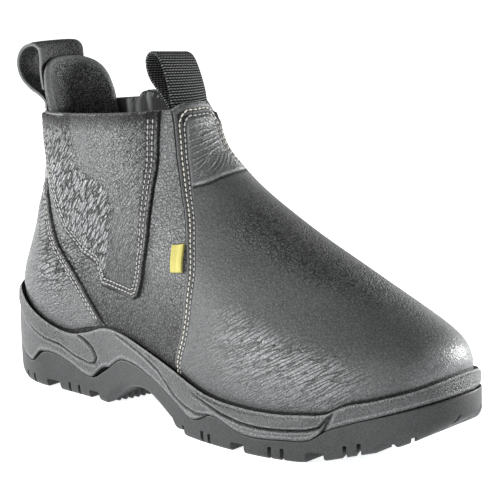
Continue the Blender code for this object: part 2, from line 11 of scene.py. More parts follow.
import bmesh
import bpy
import numpy as np
from mathutils import Matrix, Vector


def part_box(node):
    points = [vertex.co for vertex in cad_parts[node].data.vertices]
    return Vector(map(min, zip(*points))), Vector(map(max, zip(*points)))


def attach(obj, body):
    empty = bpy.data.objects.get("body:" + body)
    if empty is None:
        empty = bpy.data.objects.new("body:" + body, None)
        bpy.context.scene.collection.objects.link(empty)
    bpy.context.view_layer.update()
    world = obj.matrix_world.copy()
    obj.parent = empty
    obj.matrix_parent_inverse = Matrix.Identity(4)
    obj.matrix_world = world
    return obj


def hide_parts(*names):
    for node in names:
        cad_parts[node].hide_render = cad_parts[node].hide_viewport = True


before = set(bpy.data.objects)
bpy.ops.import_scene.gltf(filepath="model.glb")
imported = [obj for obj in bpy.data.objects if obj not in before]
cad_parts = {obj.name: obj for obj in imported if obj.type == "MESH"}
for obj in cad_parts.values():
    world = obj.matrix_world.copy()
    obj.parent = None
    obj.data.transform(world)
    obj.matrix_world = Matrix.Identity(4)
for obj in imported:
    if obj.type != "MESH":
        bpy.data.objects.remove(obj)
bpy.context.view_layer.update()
MM = 0.001
print("packed nodes:", len(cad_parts))

# %% [markdown]
# ## The last
# A boot is built round a last, the wooden or plastic foot that gives it its shape. Here the last is a stack
# of level rings, each a short row of sizes. Between the rows everything is a smooth curve, so any point of
# the upper can be worked out from two numbers: t, the share of the way from the sole up to the collar, and
# phi, the angle round the boot from the heel by the outer side to the toe. Panels, seams and creases are
# all placed through this one function, which is why they lie on the leather exactly.

# %% Sizes of the last
Section = namedtuple(
    "Section", "height follow rise back front heel lateral medial waist heel_round toe_round power")
Level = namedtuple("Level", "x z")

UPPER = [
    Section(27.0, 1.00, 0.0, 7.5, 299.0, 33.5, 50.0, 46.0, 8.0, 41.0, 72.0, 2.15),
    Section(38.0, 1.00, 0.0, 4.5, 302.5, 35.5, 52.5, 48.5, 8.0, 42.0, 74.0, 2.20),
    Section(50.0, 1.00, 0.0, 3.5, 302.0, 35.5, 52.5, 48.5, 7.0, 43.0, 78.0, 2.20),
    Section(62.0, 0.95, 0.0, 5.0, 297.0, 34.5, 51.0, 47.0, 6.0, 43.0, 86.0, 2.15),
    Section(74.0, 0.80, 0.0, 9.5, 280.0, 33.5, 48.5, 45.5, 5.0, 43.0, 102.0, 2.10),
    Section(88.0, 0.55, 0.0, 15.0, 251.0, 32.5, 45.5, 44.0, 3.0, 43.0, 122.0, 2.05),
    Section(103.0, 0.30, 1.0, 19.5, 212.0, 32.5, 42.0, 41.5, 1.5, 43.0, 118.0, 2.00),
    Section(118.0, 0.10, 3.0, 22.5, 175.5, 32.0, 37.0, 37.0, 0.5, 44.0, 92.0, 2.05),
    Section(131.0, 0.00, 5.0, 24.0, 154.0, 32.0, 34.0, 34.0, 0.0, 45.0, 74.0, 2.20),
    Section(143.0, 0.00, 8.0, 25.0, 144.0, 32.0, 33.0, 33.0, 0.0, 45.0, 64.0, 2.40),
    Section(153.0, 0.00, 11.0, 25.5, 138.0, 32.0, 32.5, 32.5, 0.0, 45.0, 60.0, 2.50),
]
SOLE = Section(0.0, 0.0, 0.0, 0.0, 308.0, 40.7, 58.5, 53.0, 9.0, 43.0, 90.0, 2.02)
FEATHER = [
    Level(0, 27), Level(60, 26), Level(110, 24), Level(160, 18.5), Level(205, 16), Level(250, 16.5),
    Level(280, 19), Level(308, 23),
]
LENGTH = 308.0
WALL = 2.4
TOE_IN, TOE_IN_FROM, TOE_IN_POWER = 10.5, 0.50, 1.6
HEEL_END, BALL_AT, WAIST_AT, WAIST_SPREAD = 0.16, 0.66, 0.38, 0.17
LATERAL_WAIST, TOE_TAPER = 0.5, 0.08
LATERAL, MEDIAL = -1, 1
HALVINGS, FRONT_TURNS = 26, 3
SLOPE_STEP = 0.002
OUTLINE_STEPS, OUTLINE_POINTS = 4000, 1200


def curve(places, values, at):
    """Smooth curve through values at places: cubic pieces whose slopes come from the neighbouring values."""
    places, values = np.asarray(places, float), np.asarray(values, float)
    slopes = np.gradient(values, places)
    at = np.clip(at, places[0], places[-1])
    i = np.clip(np.searchsorted(places, at) - 1, 0, len(places) - 2)
    span = places[i + 1] - places[i]
    s = (at - places[i]) / span
    ends = values[i] + (values[i + 1] - values[i]) * s * s * (3 - 2 * s)
    return ends + s * (1 - s) * span * (slopes[i] * (1 - s) - slopes[i + 1] * s)


def level(table, x):
    """Height of a line along the boot at x."""
    return curve([row.x for row in table], [row.z for row in table], x)


def ease(x):
    """Soft step from 0 to 1: three times the square less twice the cube."""
    x = np.clip(x, 0.0, 1.0)
    return x * x * (3 - 2 * x)


def bell(d, width):
    """Bell of height 1 over the distance d: e to the minus square of d over width."""
    return np.exp(-((d / width) ** 2))


def lean(x):
    """Sideways curve of the last's centre line towards the inner side of the toe, a power of x past the
    waist."""
    return TOE_IN * np.clip((x / LENGTH - TOE_IN_FROM) / (1 - TOE_IN_FROM), 0, 1) ** TOE_IN_POWER


def section(t):
    """Ring sizes at height share t, each a smooth curve through its column of the table."""
    shares = np.linspace(0, 1, len(UPPER))
    return Section(*[curve(shares, column, t) for column in zip(*UPPER)])


def plan(s, phi):
    """x and y of ring s at angle phi: half widths run from heel to ball, pinched at the waist, and the ends
    close on circular and blunt power curves."""
    share = (1 - np.cos(phi)) / 2
    x = s.back + (s.front - s.back) * share
    lateral = np.sin(phi) >= 0
    ball = np.where(lateral, s.lateral, s.medial)
    pinch = s.waist * np.where(lateral, LATERAL_WAIST, 1.0)
    half = s.heel + (ball - s.heel) * ease((share - HEEL_END) / (BALL_AT - HEEL_END))
    half = half - pinch * bell(share - WAIST_AT, WAIST_SPREAD)
    half = half * (1 - TOE_TAPER * ease((share - BALL_AT) / (1 - BALL_AT)))
    heel_end = 1 - np.clip((x - s.back) / s.heel_round, 0, 1)
    toe_end = 1 - np.clip((s.front - x) / s.toe_round, 0, 1)
    half = half * np.sqrt(1 - heel_end**2) * (1 - toe_end**s.power) ** (1 / s.power)
    return x, lean(x) + np.where(lateral, -half, half)


def upper_point(t, phi):
    """Point of the upper's face: the plan of ring t at angle phi, raised by the ring's height, its rise
    towards the front and its share of the feather line's slope."""
    s = section(t)
    x, y = plan(s, phi)
    share = (1 - np.cos(phi)) / 2
    z = s.height + s.rise * share + s.follow * (level(FEATHER, x) - FEATHER[0].z)
    return np.stack([x, y, z], axis=-1)


def upper_normal(t, phi):
    """Outward unit normal: the cross product of the slopes along phi and along t."""
    along = upper_point(t, phi + SLOPE_STEP) - upper_point(t, phi - SLOPE_STEP)
    above, below = np.minimum(t + SLOPE_STEP, 1.0), np.maximum(t - SLOPE_STEP, 0.0)
    normal = np.cross(along, upper_point(above, phi) - upper_point(below, phi))
    return normal / np.linalg.norm(normal, axis=-1, keepdims=True)


def beside_upper(t, phi, lift):
    """Point at a distance lift outside the upper's face, or inside it where lift is negative."""
    return upper_point(t, phi) + np.asarray(lift)[..., None] * upper_normal(t, phi)


def climb(rising, target, low=0.0, high=1.0):
    """Argument at which a rising function reaches target, by halving the interval."""
    low, high = np.full(np.shape(target), low), np.full(np.shape(target), high)
    for _ in range(HALVINGS):
        middle = (low + high) / 2
        above = rising(middle) > target
        low, high = np.where(above, low, middle), np.where(above, middle, high)
    return (low + high) / 2


def on_side(x, z, side):
    """t and phi of the upper's point at x and z on the lateral or medial side."""

    def height(t):
        s = section(t)
        share = np.clip((x - s.back) / (s.front - s.back), 0, 1)
        return s.height + s.rise * share + s.follow * (level(FEATHER, x) - FEATHER[0].z)

    t = climb(height, z)
    s = section(t)
    phi = np.arccos(1 - 2 * np.clip((x - s.back) / (s.front - s.back), 0, 1))
    return t, (phi if side == LATERAL else 2 * np.pi - phi)


def on_front(y, z):
    """t and phi of the upper's point at y and z on the instep or toe, by turns for the height and for the
    angle."""
    phi = np.full(np.shape(y), np.pi)
    for _ in range(FRONT_TURNS):
        t = climb(lambda share: upper_point(share, phi)[..., 2], z)
        phi = climb(lambda angle: upper_point(t, angle)[..., 1], y, np.pi / 2, 3 * np.pi / 2)
    return t, phi


def even_angles(count):
    """Angles spaced evenly along the sole's outline and paired across the boot."""
    fine = np.linspace(0, np.pi, OUTLINE_STEPS)
    x, y = plan(SOLE, fine)
    run = np.concatenate([[0], np.cumsum(np.hypot(np.diff(x), np.diff(y)))])
    half = np.interp(np.linspace(0, run[-1], count // 2 + 1), run, fine)
    return np.concatenate([half, 2 * np.pi - half[-2:0:-1]])


outline_x, outline_y = plan(SOLE, even_angles(OUTLINE_POINTS))
MIDDLE = np.array([
    (outline_x.min() + outline_x.max()) / 2, (outline_y.min() + outline_y.max()) / 2, 0.0])
sole_low, sole_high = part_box("outsole")
print("sole length, packed and here:", round((sole_high.x - sole_low.x) / MM, 2), np.ptp(outline_x).round(2))

# %% [markdown]
# ## Camera
# The camera stands in front of the boot's outer side, a little above it, and is rolled by a small angle, as
# the picture being matched was. Its place comes from the angle, the distance and the point it looks at; the
# lens comes from how many image points one millimetre takes at that distance.

# %% Camera
AZIMUTH, ELEVATION, ROLL = np.radians([45.0, 14.2, -2.5])
DISTANCE = 1200.0
POINTS_PER_MM = 1.86
IMAGE_POINTS = 500.0
SENSOR = 36.0
LOOK_AT = np.array([150.0, 0.0, 80.0])
AIM_RIGHT, AIM_UP = 28.0, 12.0


def place(points):
    """Millimetres in the boot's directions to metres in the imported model's frame."""
    return (np.asarray(points, float) - MIDDLE) * MM


back = np.array([np.sin(AZIMUTH) * np.cos(ELEVATION), -np.cos(AZIMUTH) * np.cos(ELEVATION), np.sin(ELEVATION)])
level_right = np.array([np.cos(AZIMUTH), np.sin(AZIMUTH), 0.0])
level_up = np.cross(back, level_right)
view_right = np.cos(ROLL) * level_right + np.sin(ROLL) * level_up
view_up = np.cos(ROLL) * level_up - np.sin(ROLL) * level_right
eye = LOOK_AT + DISTANCE * back
aim = LOOK_AT + (AIM_RIGHT * view_right + AIM_UP * view_up) / POINTS_PER_MM
toward = (eye - aim) / np.linalg.norm(eye - aim)
side_axis = np.cross(view_up, toward)
side_axis /= np.linalg.norm(side_axis)
camera_data = bpy.data.cameras.new("camera")
camera_data.sensor_width = SENSOR
camera_data.lens = POINTS_PER_MM * DISTANCE * SENSOR / IMAGE_POINTS
camera = bpy.data.objects.new("camera", camera_data)
turn = Matrix(np.column_stack([side_axis, np.cross(toward, side_axis), toward]).tolist())
camera.matrix_world = Matrix.Translation(place(eye).tolist()) @ turn.to_4x4()
bpy.context.scene.collection.objects.link(camera)
bpy.context.scene.camera = camera
print("lens", round(camera_data.lens, 1), "mm")

# %% [markdown]
# ## Shader maths
# A finish is a small sum: so much pebble, so much wrinkle, a little noise. Blender spells sums out as Math
# nodes. One class wraps a socket so that the sum can be written as an ordinary expression, and its node
# method adds any other node from its type, its settings and its socket values.


# %% A socket that can be added and multiplied
class Wire:
    """An output socket in a material, with arithmetic that adds Math nodes behind it."""

    def __init__(self, tree, socket):
        self.tree = tree
        self.socket = socket

    def node(self, kind, settings=(), sockets=(), output=0):
        """Add a node: settings first, then socket values or links; the named output comes back as a Wire."""
        made = self.tree.nodes.new(kind)
        for key, value in dict(settings).items():
            setattr(made, key, value)
        for key, value in dict(sockets).items():
            if isinstance(value, Wire):
                self.tree.links.new(value.socket, made.inputs[key])
            else:
                made.inputs[key].default_value = value
        return Wire(self.tree, made.outputs[output])

    def math(self, operation, first, second=0.0):
        return self.node("ShaderNodeMath", {"operation": operation}, {0: first, 1: second})

    def __add__(self, other):
        return self.math("ADD", self, other)

    __radd__ = __add__

    def __sub__(self, other):
        return self.math("SUBTRACT", self, other)

    def __rsub__(self, other):
        return self.math("SUBTRACT", other, self)

    def __mul__(self, other):
        return self.math("MULTIPLY", self, other)

    __rmul__ = __mul__

    def __pow__(self, other):
        return self.math("POWER", self, other)

    def __rpow__(self, other):
        return self.math("POWER", other, self)

    def clamped(self):
        return self.node("ShaderNodeClamp", {}, {"Value": self})

    def step(self, low, high):
        """Soft step from 0 at low to 1 at high."""
        settings = {"interpolation_type": "SMOOTHSTEP"}
        return self.node("ShaderNodeMapRange", settings, {"Value": self, "From Min": low, "From Max": high})

    def noise(self, size, detail=2.0, rough=0.5):
        """Noise between 0 and 1 whose lumps are about size millimetres across."""
        sockets = {"Vector": self, "Scale": 1 / (size * MM), "Detail": detail, "Roughness": rough}
        return self.node("ShaderNodeTexNoise", {}, sockets)

    def cells(self, size, feature="F1"):
        """Distance pattern of cells about size millimetres across."""
        sockets = {"Vector": self, "Scale": 1 / (size * MM)}
        return self.node("ShaderNodeTexVoronoi", {"feature": feature}, sockets)

    def ripple(self, pitch):
        """Wave between 0 and 1 that comes again every pitch millimetres: half a sine and a half."""
        return self.math("SINE", self * (2 * np.pi / (pitch * MM))) * 0.5 + 0.5

    def stretched(self, scale):
        """Place vector divided by scale along each axis, so that a pattern is drawn out along one of them."""
        sockets = {"Vector": self, "Scale": scale}
        return self.node("ShaderNodeMapping", {"vector_type": "TEXTURE"}, sockets)

    def along(self, axis):
        """One of the three numbers of a place vector."""
        return self.node("ShaderNodeSeparateXYZ", {}, {0: self}, output=axis)

    def moved(self, other, amount):
        """Place vector pushed about by another vector, for a pattern that wanders."""
        push = self.node("ShaderNodeVectorMath", {"operation": "SCALE"}, {0: other, "Scale": amount * MM})
        return self.node("ShaderNodeVectorMath", {"operation": "ADD"}, {0: self, 1: push})

    def tint(self, dark, light):
        """Colour between dark and light, by this value."""
        sockets = {0: self, 6: (*dark, 1.0), 7: (*light, 1.0)}
        return self.node("ShaderNodeMix", {"data_type": "RGBA"}, sockets, output=2)

    def over(self, colour, light):
        """Colour wire laid over by light where this value is 1."""
        sockets = {0: self, 6: colour, 7: (*light, 1.0)}
        return self.node("ShaderNodeMix", {"data_type": "RGBA"}, sockets, output=2)


def begin(name):
    """New material: its tree, its place vector, and its shader."""
    material = bpy.data.materials.new(name)
    material.use_nodes = True
    tree = material.node_tree
    shader = tree.nodes["Principled BSDF"]
    where = tree.nodes.new("ShaderNodeTexCoord")
    return material, Wire(tree, where.outputs["Object"]), shader


def mark(wire, name):
    """A piece's own painted value, by its attribute's name."""
    return wire.node("ShaderNodeAttribute", {"attribute_name": name}, {}, output="Fac")


def sew_uv(wire):
    """A piece's own flat map, in metres along and across."""
    return wire.node("ShaderNodeUVMap", {"uv_map": "flat"}, {})


def dress(material, shader, colour, rough, height, **fixed):
    """Join colour, roughness and relief height in millimetres to the shader, and set its fixed values."""
    tree = material.node_tree
    for value, key in ((colour, "Base Color"), (rough, "Roughness")):
        if isinstance(value, Wire):
            tree.links.new(value.socket, shader.inputs[key])
        else:
            shader.inputs[key].default_value = value
    bump = height.node("ShaderNodeBump", {}, {"Height": height, "Distance": MM, "Strength": 1.0})
    tree.links.new(bump.socket, shader.inputs["Normal"])
    for key, value in fixed.items():
        shader.inputs[key.replace("_", " ")].default_value = value
    return material


print("shader class ready")

# %% [markdown]
# ## Finishes
# The leather is tumbled full grain: rounded pebbles about two millimetres across, coarser and drawn out
# where it wrinkles, almost smooth where it is pulled tight over the toe. Cells give the pebbles; the same
# cells, stretched along one direction, give the drawn-out wrinkles. Each panel carries painted values that
# say how much of either it has, so one leather serves them all.


# %% Leather
FINE_PEBBLE, COARSE_PEBBLE, PORE, SPECK = 1.9, 2.9, 0.9, 0.7
WRINKLE, WRINKLE_DRAW = 2.2, (3.4, 1.0, 1.0)
LUMP, CLOUD = 4.5, 24.0
# Colours of the painted highlight and of the painted shade.
HIGHLIGHT_GREY, SHADE_GREY = 0.36, 0.003


def grey(value):
    """Neutral colour, the least bit cool."""
    return (value * 0.98, value, value * 1.01)


def make_leather(name, dark, light, shine):
    """Leather: mottled colour, roughness with wear, and pebbles, drawn wrinkles and pores as relief; painted
    shade in the cracks and where a piece marks shade, and painted highlights where a piece marks them.
    """
    material, spot, shader = begin(name)
    pebbled, drawn, shaded, painted_highlight = (mark(spot, key) for key in ("pebble", "drawn", "shade", "painted_highlight"))
    drift = spot.node("ShaderNodeTexNoise", {}, {"Vector": spot, "Scale": 200.0}, output=1)
    astray = spot.moved(drift, 1.0)
    fine = astray.cells(FINE_PEBBLE, "DISTANCE_TO_EDGE").step(0.02, 0.20)
    coarse = astray.cells(COARSE_PEBBLE, "DISTANCE_TO_EDGE").step(0.02, 0.16)
    flat = sew_uv(spot).moved(drift, 1.1)
    fold = flat.stretched(WRINKLE_DRAW).cells(WRINKLE, "DISTANCE_TO_EDGE").step(0.0, 0.13)
    lumps = spot.noise(LUMP)
    pores = spot.noise(PORE, 2.0, 0.65)
    speck = spot.noise(SPECK, 1.0).step(0.36, 0.64)
    pebbles = (fine * 0.26 + coarse * 0.20) * pebbled
    wrinkles = drawn * (fold * 1.7 + lumps * 0.2)
    height = pebbles + wrinkles + pores * (pebbled * 0.14 + 0.07)
    # Painted shade: the cracks between pebbles and between wrinkles are darkened, as is each place a piece
    # marks with shade.
    crack_shade = (1.0 - fine) * (pebbled * 0.75 + 0.05) + (1.0 - coarse) * pebbled * 0.3
    crack_shade = crack_shade + (1.0 - fold) * drawn * 1.1
    patch = spot.noise(CLOUD, 3.0, 0.55)
    mottle = (speck * 0.6 + pores * 0.4 - 0.5) * (pebbled * 1.1 + 0.15)
    plain = (patch * 0.2 + mottle + 0.35).clamped().tint(grey(dark), grey(light))
    # Painted highlight: where a piece marks it, the colour is lightened towards a pale grey, most on the tops
    # of pebbles and wrinkles.
    highlighted = painted_highlight * (lumps.step(0.30, 0.62) * 0.2 + 0.8) * (fold * 0.35 + speck * 0.4 + 0.25)
    highlit_colour = highlighted.clamped().over(plain, grey(HIGHLIGHT_GREY))
    colour = (crack_shade + shaded).clamped().over(highlit_colour, grey(SHADE_GREY))
    rough = shine + patch * 0.10 - drawn * 0.10 + shaded * 0.45
    return dress(material, shader, colour, rough, height, Specular_IOR_Level=0.42)


leather = make_leather("black_leather", 0.004, 0.215, 0.36)
print("leather nodes", len(leather.node_tree.nodes))

# %% [markdown]
# ## Sole, suede, cloth and thread
# The midsole is a moulded foam skin with a fine etched grain; the outsole rubber is smoother with a satin
# sheen. Suede is short nap, so it is nearly matt with a fine speckle. The webbing and the elastic read
# their own flat maps, because their ribs and gathers run along the strap and not along the room's axes.


# %% Other finishes
ETCH, NAP, STRAP_GRAIN, STRAND = 0.8, 0.66, 0.9, 0.35
TAPE_RIB, TAPE_TWIST, TAPE_SLANT, ELASTIC_CORD = 1.5, 2.0, 0.5, 1.1


def make_midsole_foam():
    """Moulded foam: even grey, matt, with a fine etched grain, painted shade in its grooves and painted
    highlights on its edges."""
    material, spot, shader = begin("midsole_foam")
    etch = spot.noise(ETCH, 1.0).step(0.30, 0.70)
    cloud = spot.noise(30.0)
    plain = (cloud * 0.3 + etch * 0.7).tint(grey(0.012), grey(0.100))
    # Painted highlight where the piece marks its edges, then painted shade where it marks shade.
    highlighted = (mark(spot, "edge") * (etch * 0.3 + 0.15)).over(plain, grey(0.30))
    colour = mark(spot, "shade").over(highlighted, grey(0.004))
    return dress(material, shader, colour, 0.46 + etch * 0.12, etch * 0.30, Specular_IOR_Level=0.5)


def make_outsole_rubber():
    """Moulded rubber: darker and smoother, with faint flow marks and dust in the colour."""
    material, spot, shader = begin("outsole_compound")
    fine = spot.noise(ETCH, 1.0).step(0.30, 0.70)
    cloud = spot.noise(9.0, 3.0, 0.6)
    colour = (cloud * 0.5 + fine * 0.5).tint(grey(0.012), grey(0.048))
    relief = fine * 0.06 + cloud * 0.05
    return dress(material, shader, colour, 0.46 + cloud * 0.12, relief, Specular_IOR_Level=0.35)


def make_suede(name, dark, light):
    """Suede: nap speckle in the colour and relief, with a paler bound edge where the piece says so."""
    material, spot, shader = begin(name)
    nap = spot.noise(NAP, 1.0).step(0.44, 0.64)
    lie = spot.noise(7.0)
    rim = mark(spot, "edge")
    colour = (rim * 0.5).over((nap * 0.8 + lie * 0.2).tint(grey(dark), grey(light)), grey(0.20))
    return dress(material, shader, colour, 0.95, nap * 0.22, Specular_IOR_Level=0.2)


def make_strap_leather():
    """Strap leather: fine grain, cross wrinkles on the bend, and pale cut edges."""
    material, spot, shader = begin("strap_leather")
    grain = 1.0 - spot.cells(STRAP_GRAIN) ** 2.0 * 1.8
    wrinkle = sew_uv(spot).stretched((1.0, 6.0, 1.0)).noise(1.6)
    rim = mark(spot, "edge")
    speck = spot.noise(0.75, 1.0).step(0.38, 0.66)
    colour = (rim * 0.6).over(speck.tint(grey(0.003), grey(0.075)), grey(0.15))
    relief = grain * 0.10 + wrinkle * 0.45
    return dress(material, shader, colour, 0.7 + grain * 0.08, relief, Specular_IOR_Level=0.2)


def make_webbing():
    """Woven tape: ribs across it a pitch apart, each a row of small slanting twists."""
    material, spot, shader = begin("black_webbing")
    flat = sew_uv(spot)
    rib = flat.along(0).ripple(TAPE_RIB)
    twist = (flat.along(1) + flat.along(0) * TAPE_SLANT).ripple(TAPE_TWIST)
    fuzz = spot.noise(0.6)
    colour = (rib ** 3.0 * (0.15 + twist * 0.8 + fuzz * 0.3)).tint(grey(0.001), grey(0.19))
    relief = rib * 0.45 + twist * 0.12 + fuzz * 0.05
    return dress(material, shader, colour, 0.8, relief, Specular_IOR_Level=0.12)


def make_elastic():
    """Gathered elastic: fine upright cords over the folds that the piece's shape has, with painted highlights
    where the piece marks its fold ridges.
    """
    material, spot, shader = begin("black_elastic")
    cord = sew_uv(spot).along(0).ripple(ELASTIC_CORD)
    fuzz = spot.noise(0.8, 3.0)
    ridge = mark(spot, "edge")
    colour = (ridge * 0.8 + cord * 0.08 + fuzz * 0.12).tint(grey(0.004), grey(0.22))
    return dress(material, shader, colour, 0.45, cord * 0.12 + fuzz * 0.1)


def make_cloth(name, dark, light, pitch, rough):
    """Plain weave: warp and weft ripples a pitch apart on the place vector."""
    material, spot, shader = begin(name)
    warp = spot.along(0).ripple(pitch)
    weft = (spot.along(1) + spot.along(2)).ripple(pitch)
    fuzz = spot.noise(1.2, 3.0)
    colour = (warp * weft * 0.5 + fuzz * 0.5).tint(dark, light)
    return dress(material, shader, colour, rough, warp * 0.06 + weft * 0.06)


def make_thread(name, dark, light):
    """Waxed thread, with the twist of its strands."""
    material, spot, shader = begin(name)
    strand = spot.noise(STRAND)
    return dress(material, shader, strand.tint(dark, light), 0.6, strand * 0.06)


midsole_foam = make_midsole_foam()
outsole_rubber = make_outsole_rubber()
suede = make_suede("black_suede", 0.004, 0.18)
strap_leather = make_strap_leather()
webbing = make_webbing()
elastic = make_elastic()
lining = make_cloth("lining", grey(0.012), grey(0.030), 1.4, 0.9)
footbed = make_cloth("footbed_cloth", grey(0.015), grey(0.040), 1.8, 0.95)
tag_cloth = make_cloth("yellow_cloth", (0.37, 0.325, 0.075), (0.50, 0.45, 0.13), 0.7, 0.75)
pale_thread = make_thread("pale_thread", (0.32, 0.31, 0.27), (0.66, 0.64, 0.56))
grey_thread = make_thread("grey_thread", (0.16, 0.16, 0.155), (0.46, 0.46, 0.44))
print("finishes", len(bpy.data.materials))

# %% [markdown]
# ## From arrays to pieces
# Every surface below is a grid of points worked out at once with numpy. A sheet of leather is two such
# grids, one for each face, closed round the rim. A sole is a stack of rings closed across the first and the
# last. One helper puts the arrays into a mesh, paints its values, gives it its finish and lets it ride on
# the boot.


# %% Mesh helpers
def quads(rows, columns, closed=False):
    """Corner numbers of the faces of a grid of rows by columns, joined round where closed."""
    index = np.arange(rows * columns).reshape(rows, columns)
    if closed:
        index = np.column_stack([index, index[:, 0]])
    return np.stack([index[:-1, :-1], index[:-1, 1:], index[1:, 1:], index[1:, :-1]], axis=-1).reshape(-1, 4)


def back_faces(rows, columns, skip):
    """Faces of a sheet's hidden side: cells of skip by skip points, which keep every point along the rim."""
    index = np.arange(rows * columns).reshape(rows, columns)
    down = np.append(np.arange(0, rows - 1, skip), rows - 1)
    along = np.append(np.arange(0, columns - 1, skip), columns - 1)
    faces = []
    for a, b in zip(down[:-1], down[1:]):
        for c, d in zip(along[:-1], along[1:]):
            low = index[a, c:d] if a == 0 else index[a, c:c + 1]
            far = index[a:b, d] if d == columns - 1 else index[a:a + 1, d]
            high = index[b, d:c:-1] if b == rows - 1 else index[b, d:d + 1]
            near = index[b:a:-1, c] if c == 0 else index[b:b + 1, c]
            faces.append(np.concatenate([low, far, high, near])[::-1].tolist())
    return faces


def sheet_faces(rows, columns, skip=8):
    """Faces of a thin closed piece: the outer grid, a coarser inner grid, and the strip round their rim."""
    count = rows * columns
    index = np.arange(count).reshape(rows, columns)
    rim = np.concatenate([index[0, :-1], index[:-1, -1], index[-1, :0:-1], index[:0:-1, 0]])
    after = np.roll(rim, -1)
    strip = np.stack([rim, after, after + count, rim + count], axis=-1)
    hidden = [[corner + count for corner in face] for face in back_faces(rows, columns, skip)]
    return quads(rows, columns).tolist() + strip.tolist() + hidden


def across(columns, start):
    """Faces that close a ring by strips from side to side; the two end triangles repeat a corner."""
    j = np.arange(columns // 2)
    near, far = start + j, start + (columns - j) % columns
    return np.stack([near, near + 1, start + columns - j - 1, far], axis=-1)


def capped(rings):
    """Points and faces of a stack of rings that is closed across its first ring and its last."""
    count, columns, _ = rings.shape
    caps = across(columns, 0), across(columns, (count - 1) * columns)
    return rings.reshape(-1, 3), np.concatenate([caps[0], quads(count, columns, True), caps[1]])


def face_outwards(mesh, triangles=False):
    """Turn a mesh's faces outwards, cut into triangles first where that is asked."""
    work = bmesh.new()
    work.from_mesh(mesh)
    if triangles:
        bmesh.ops.triangulate(work, faces=work.faces)
    bmesh.ops.recalc_face_normals(work, faces=work.faces)
    work.to_mesh(mesh)
    work.free()
    return mesh


def to_mesh(name, points, faces):
    """Mesh from points in millimetres and lists of corners, less the corners that come twice in a face."""
    mesh = bpy.data.meshes.new(name)
    faces = faces if isinstance(faces, list) else faces.tolist()
    mesh.from_pydata(place(points).tolist(), [], [tuple(dict.fromkeys(face)) for face in faces])
    return face_outwards(mesh)


def show(mesh, material, node=None, marks=(), flat=None, sharp=50.0):
    """Piece from a mesh: painted values, flat map, smooth shading, finish and the node it stands for."""
    for key, values in dict(marks).items():
        painted = mesh.attributes.new(key, "FLOAT", "POINT")
        painted.data.foreach_set("value", np.ravel(values).astype(np.float32))
    if flat is not None:
        corner = np.empty(len(mesh.loops), int)
        mesh.loops.foreach_get("vertex_index", corner)
        places = (flat.reshape(-1, 2) * MM)[corner]
        mesh.uv_layers.new(name="flat").data.foreach_set("uv", places.ravel())
    mesh.shade_smooth()
    mesh.set_sharp_from_angle(angle=np.radians(sharp))
    mesh.materials.append(material)
    piece = bpy.data.objects.new(mesh.name, mesh)
    bpy.context.scene.collection.objects.link(piece)
    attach(piece, "root")
    if node:
        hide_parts(node)
    triangles = sum(len(p.vertices) - 2 for p in mesh.polygons)
    print(f"{mesh.name}: {triangles} triangles")
    return piece


def sheet(name, inner, outer, material, slot, node=None, marks=(), flat=None):
    """Piece between two grids of points, with the marks of the outer grid painted on both."""
    rows, columns, _ = outer.shape
    points = np.concatenate([outer.reshape(-1, 3), inner.reshape(-1, 3)])
    faces = sheet_faces(rows, columns)
    used = np.unique(np.concatenate(faces))
    new = np.zeros(len(points), int)
    new[used] = np.arange(len(used))
    faces = [new[face].tolist() for face in faces]
    both = {key: np.tile(np.ravel(values), 2)[used] for key, values in dict(marks).items()}
    twice = None if flat is None else np.tile(flat.reshape(-1, 2), (2, 1))[used]
    return show(to_mesh(name, points[used], faces), material, node, both, twice)


WRINKLE_GRAIN = (0.8, 1.25)


def turned(x, z, degrees):
    """Flat map whose first axis runs at an angle up from the x axis, so that wrinkles follow it."""
    c, s = np.cos(np.radians(degrees)), np.sin(np.radians(degrees))
    return np.stack([c * x + s * z, c * z - s * x], axis=-1)


def run_along(points, axis):
    """Distance run along one axis of a grid of points."""
    step = np.linalg.norm(np.diff(points, axis=axis), axis=-1)
    start = np.zeros_like(np.take(step, [0], axis=axis))
    return np.concatenate([start, np.cumsum(step, axis=axis)], axis=axis)


def line_distance(x, z, line):
    """Distance of points to a line of corners, in the side view, and the share of the line's length there."""
    line = np.asarray(line, float)
    length = np.concatenate([[0], np.cumsum(np.linalg.norm(np.diff(line, axis=0), axis=1))])
    best, where = np.full(np.shape(x), 1e9), np.zeros(np.shape(x))
    for i in range(len(line) - 1):
        dx, dz = line[i + 1] - line[i]
        s = np.clip(((x - line[i][0]) * dx + (z - line[i][1]) * dz) / (dx * dx + dz * dz), 0, 1)
        d = np.hypot(x - line[i][0] - s * dx, z - line[i][1] - s * dz)
        where = np.where(d < best, (length[i] + s * (length[i + 1] - length[i])) / length[-1], where)
        best = np.minimum(best, d)
    return best, where


def rounded(d, radius):
    """Quarter-round edge: 0 at the rim, 1 from a radius inside it."""
    return np.sqrt(1 - (1 - np.clip(d / radius, 0, 1)) ** 2)


print("mesh helpers ready")

# %% [markdown]
# ## The sole's side wall
# The real sole is moulded in two colours of nearly the same grey: a foam midsole and a rubber outsole that
# meet on a waving line. Both are cut from one wall here: a ring of columns round the outline, each running
# from the tread up to the lip beside the leather. The midsole takes the part above the waving line, the
# outsole the part below.

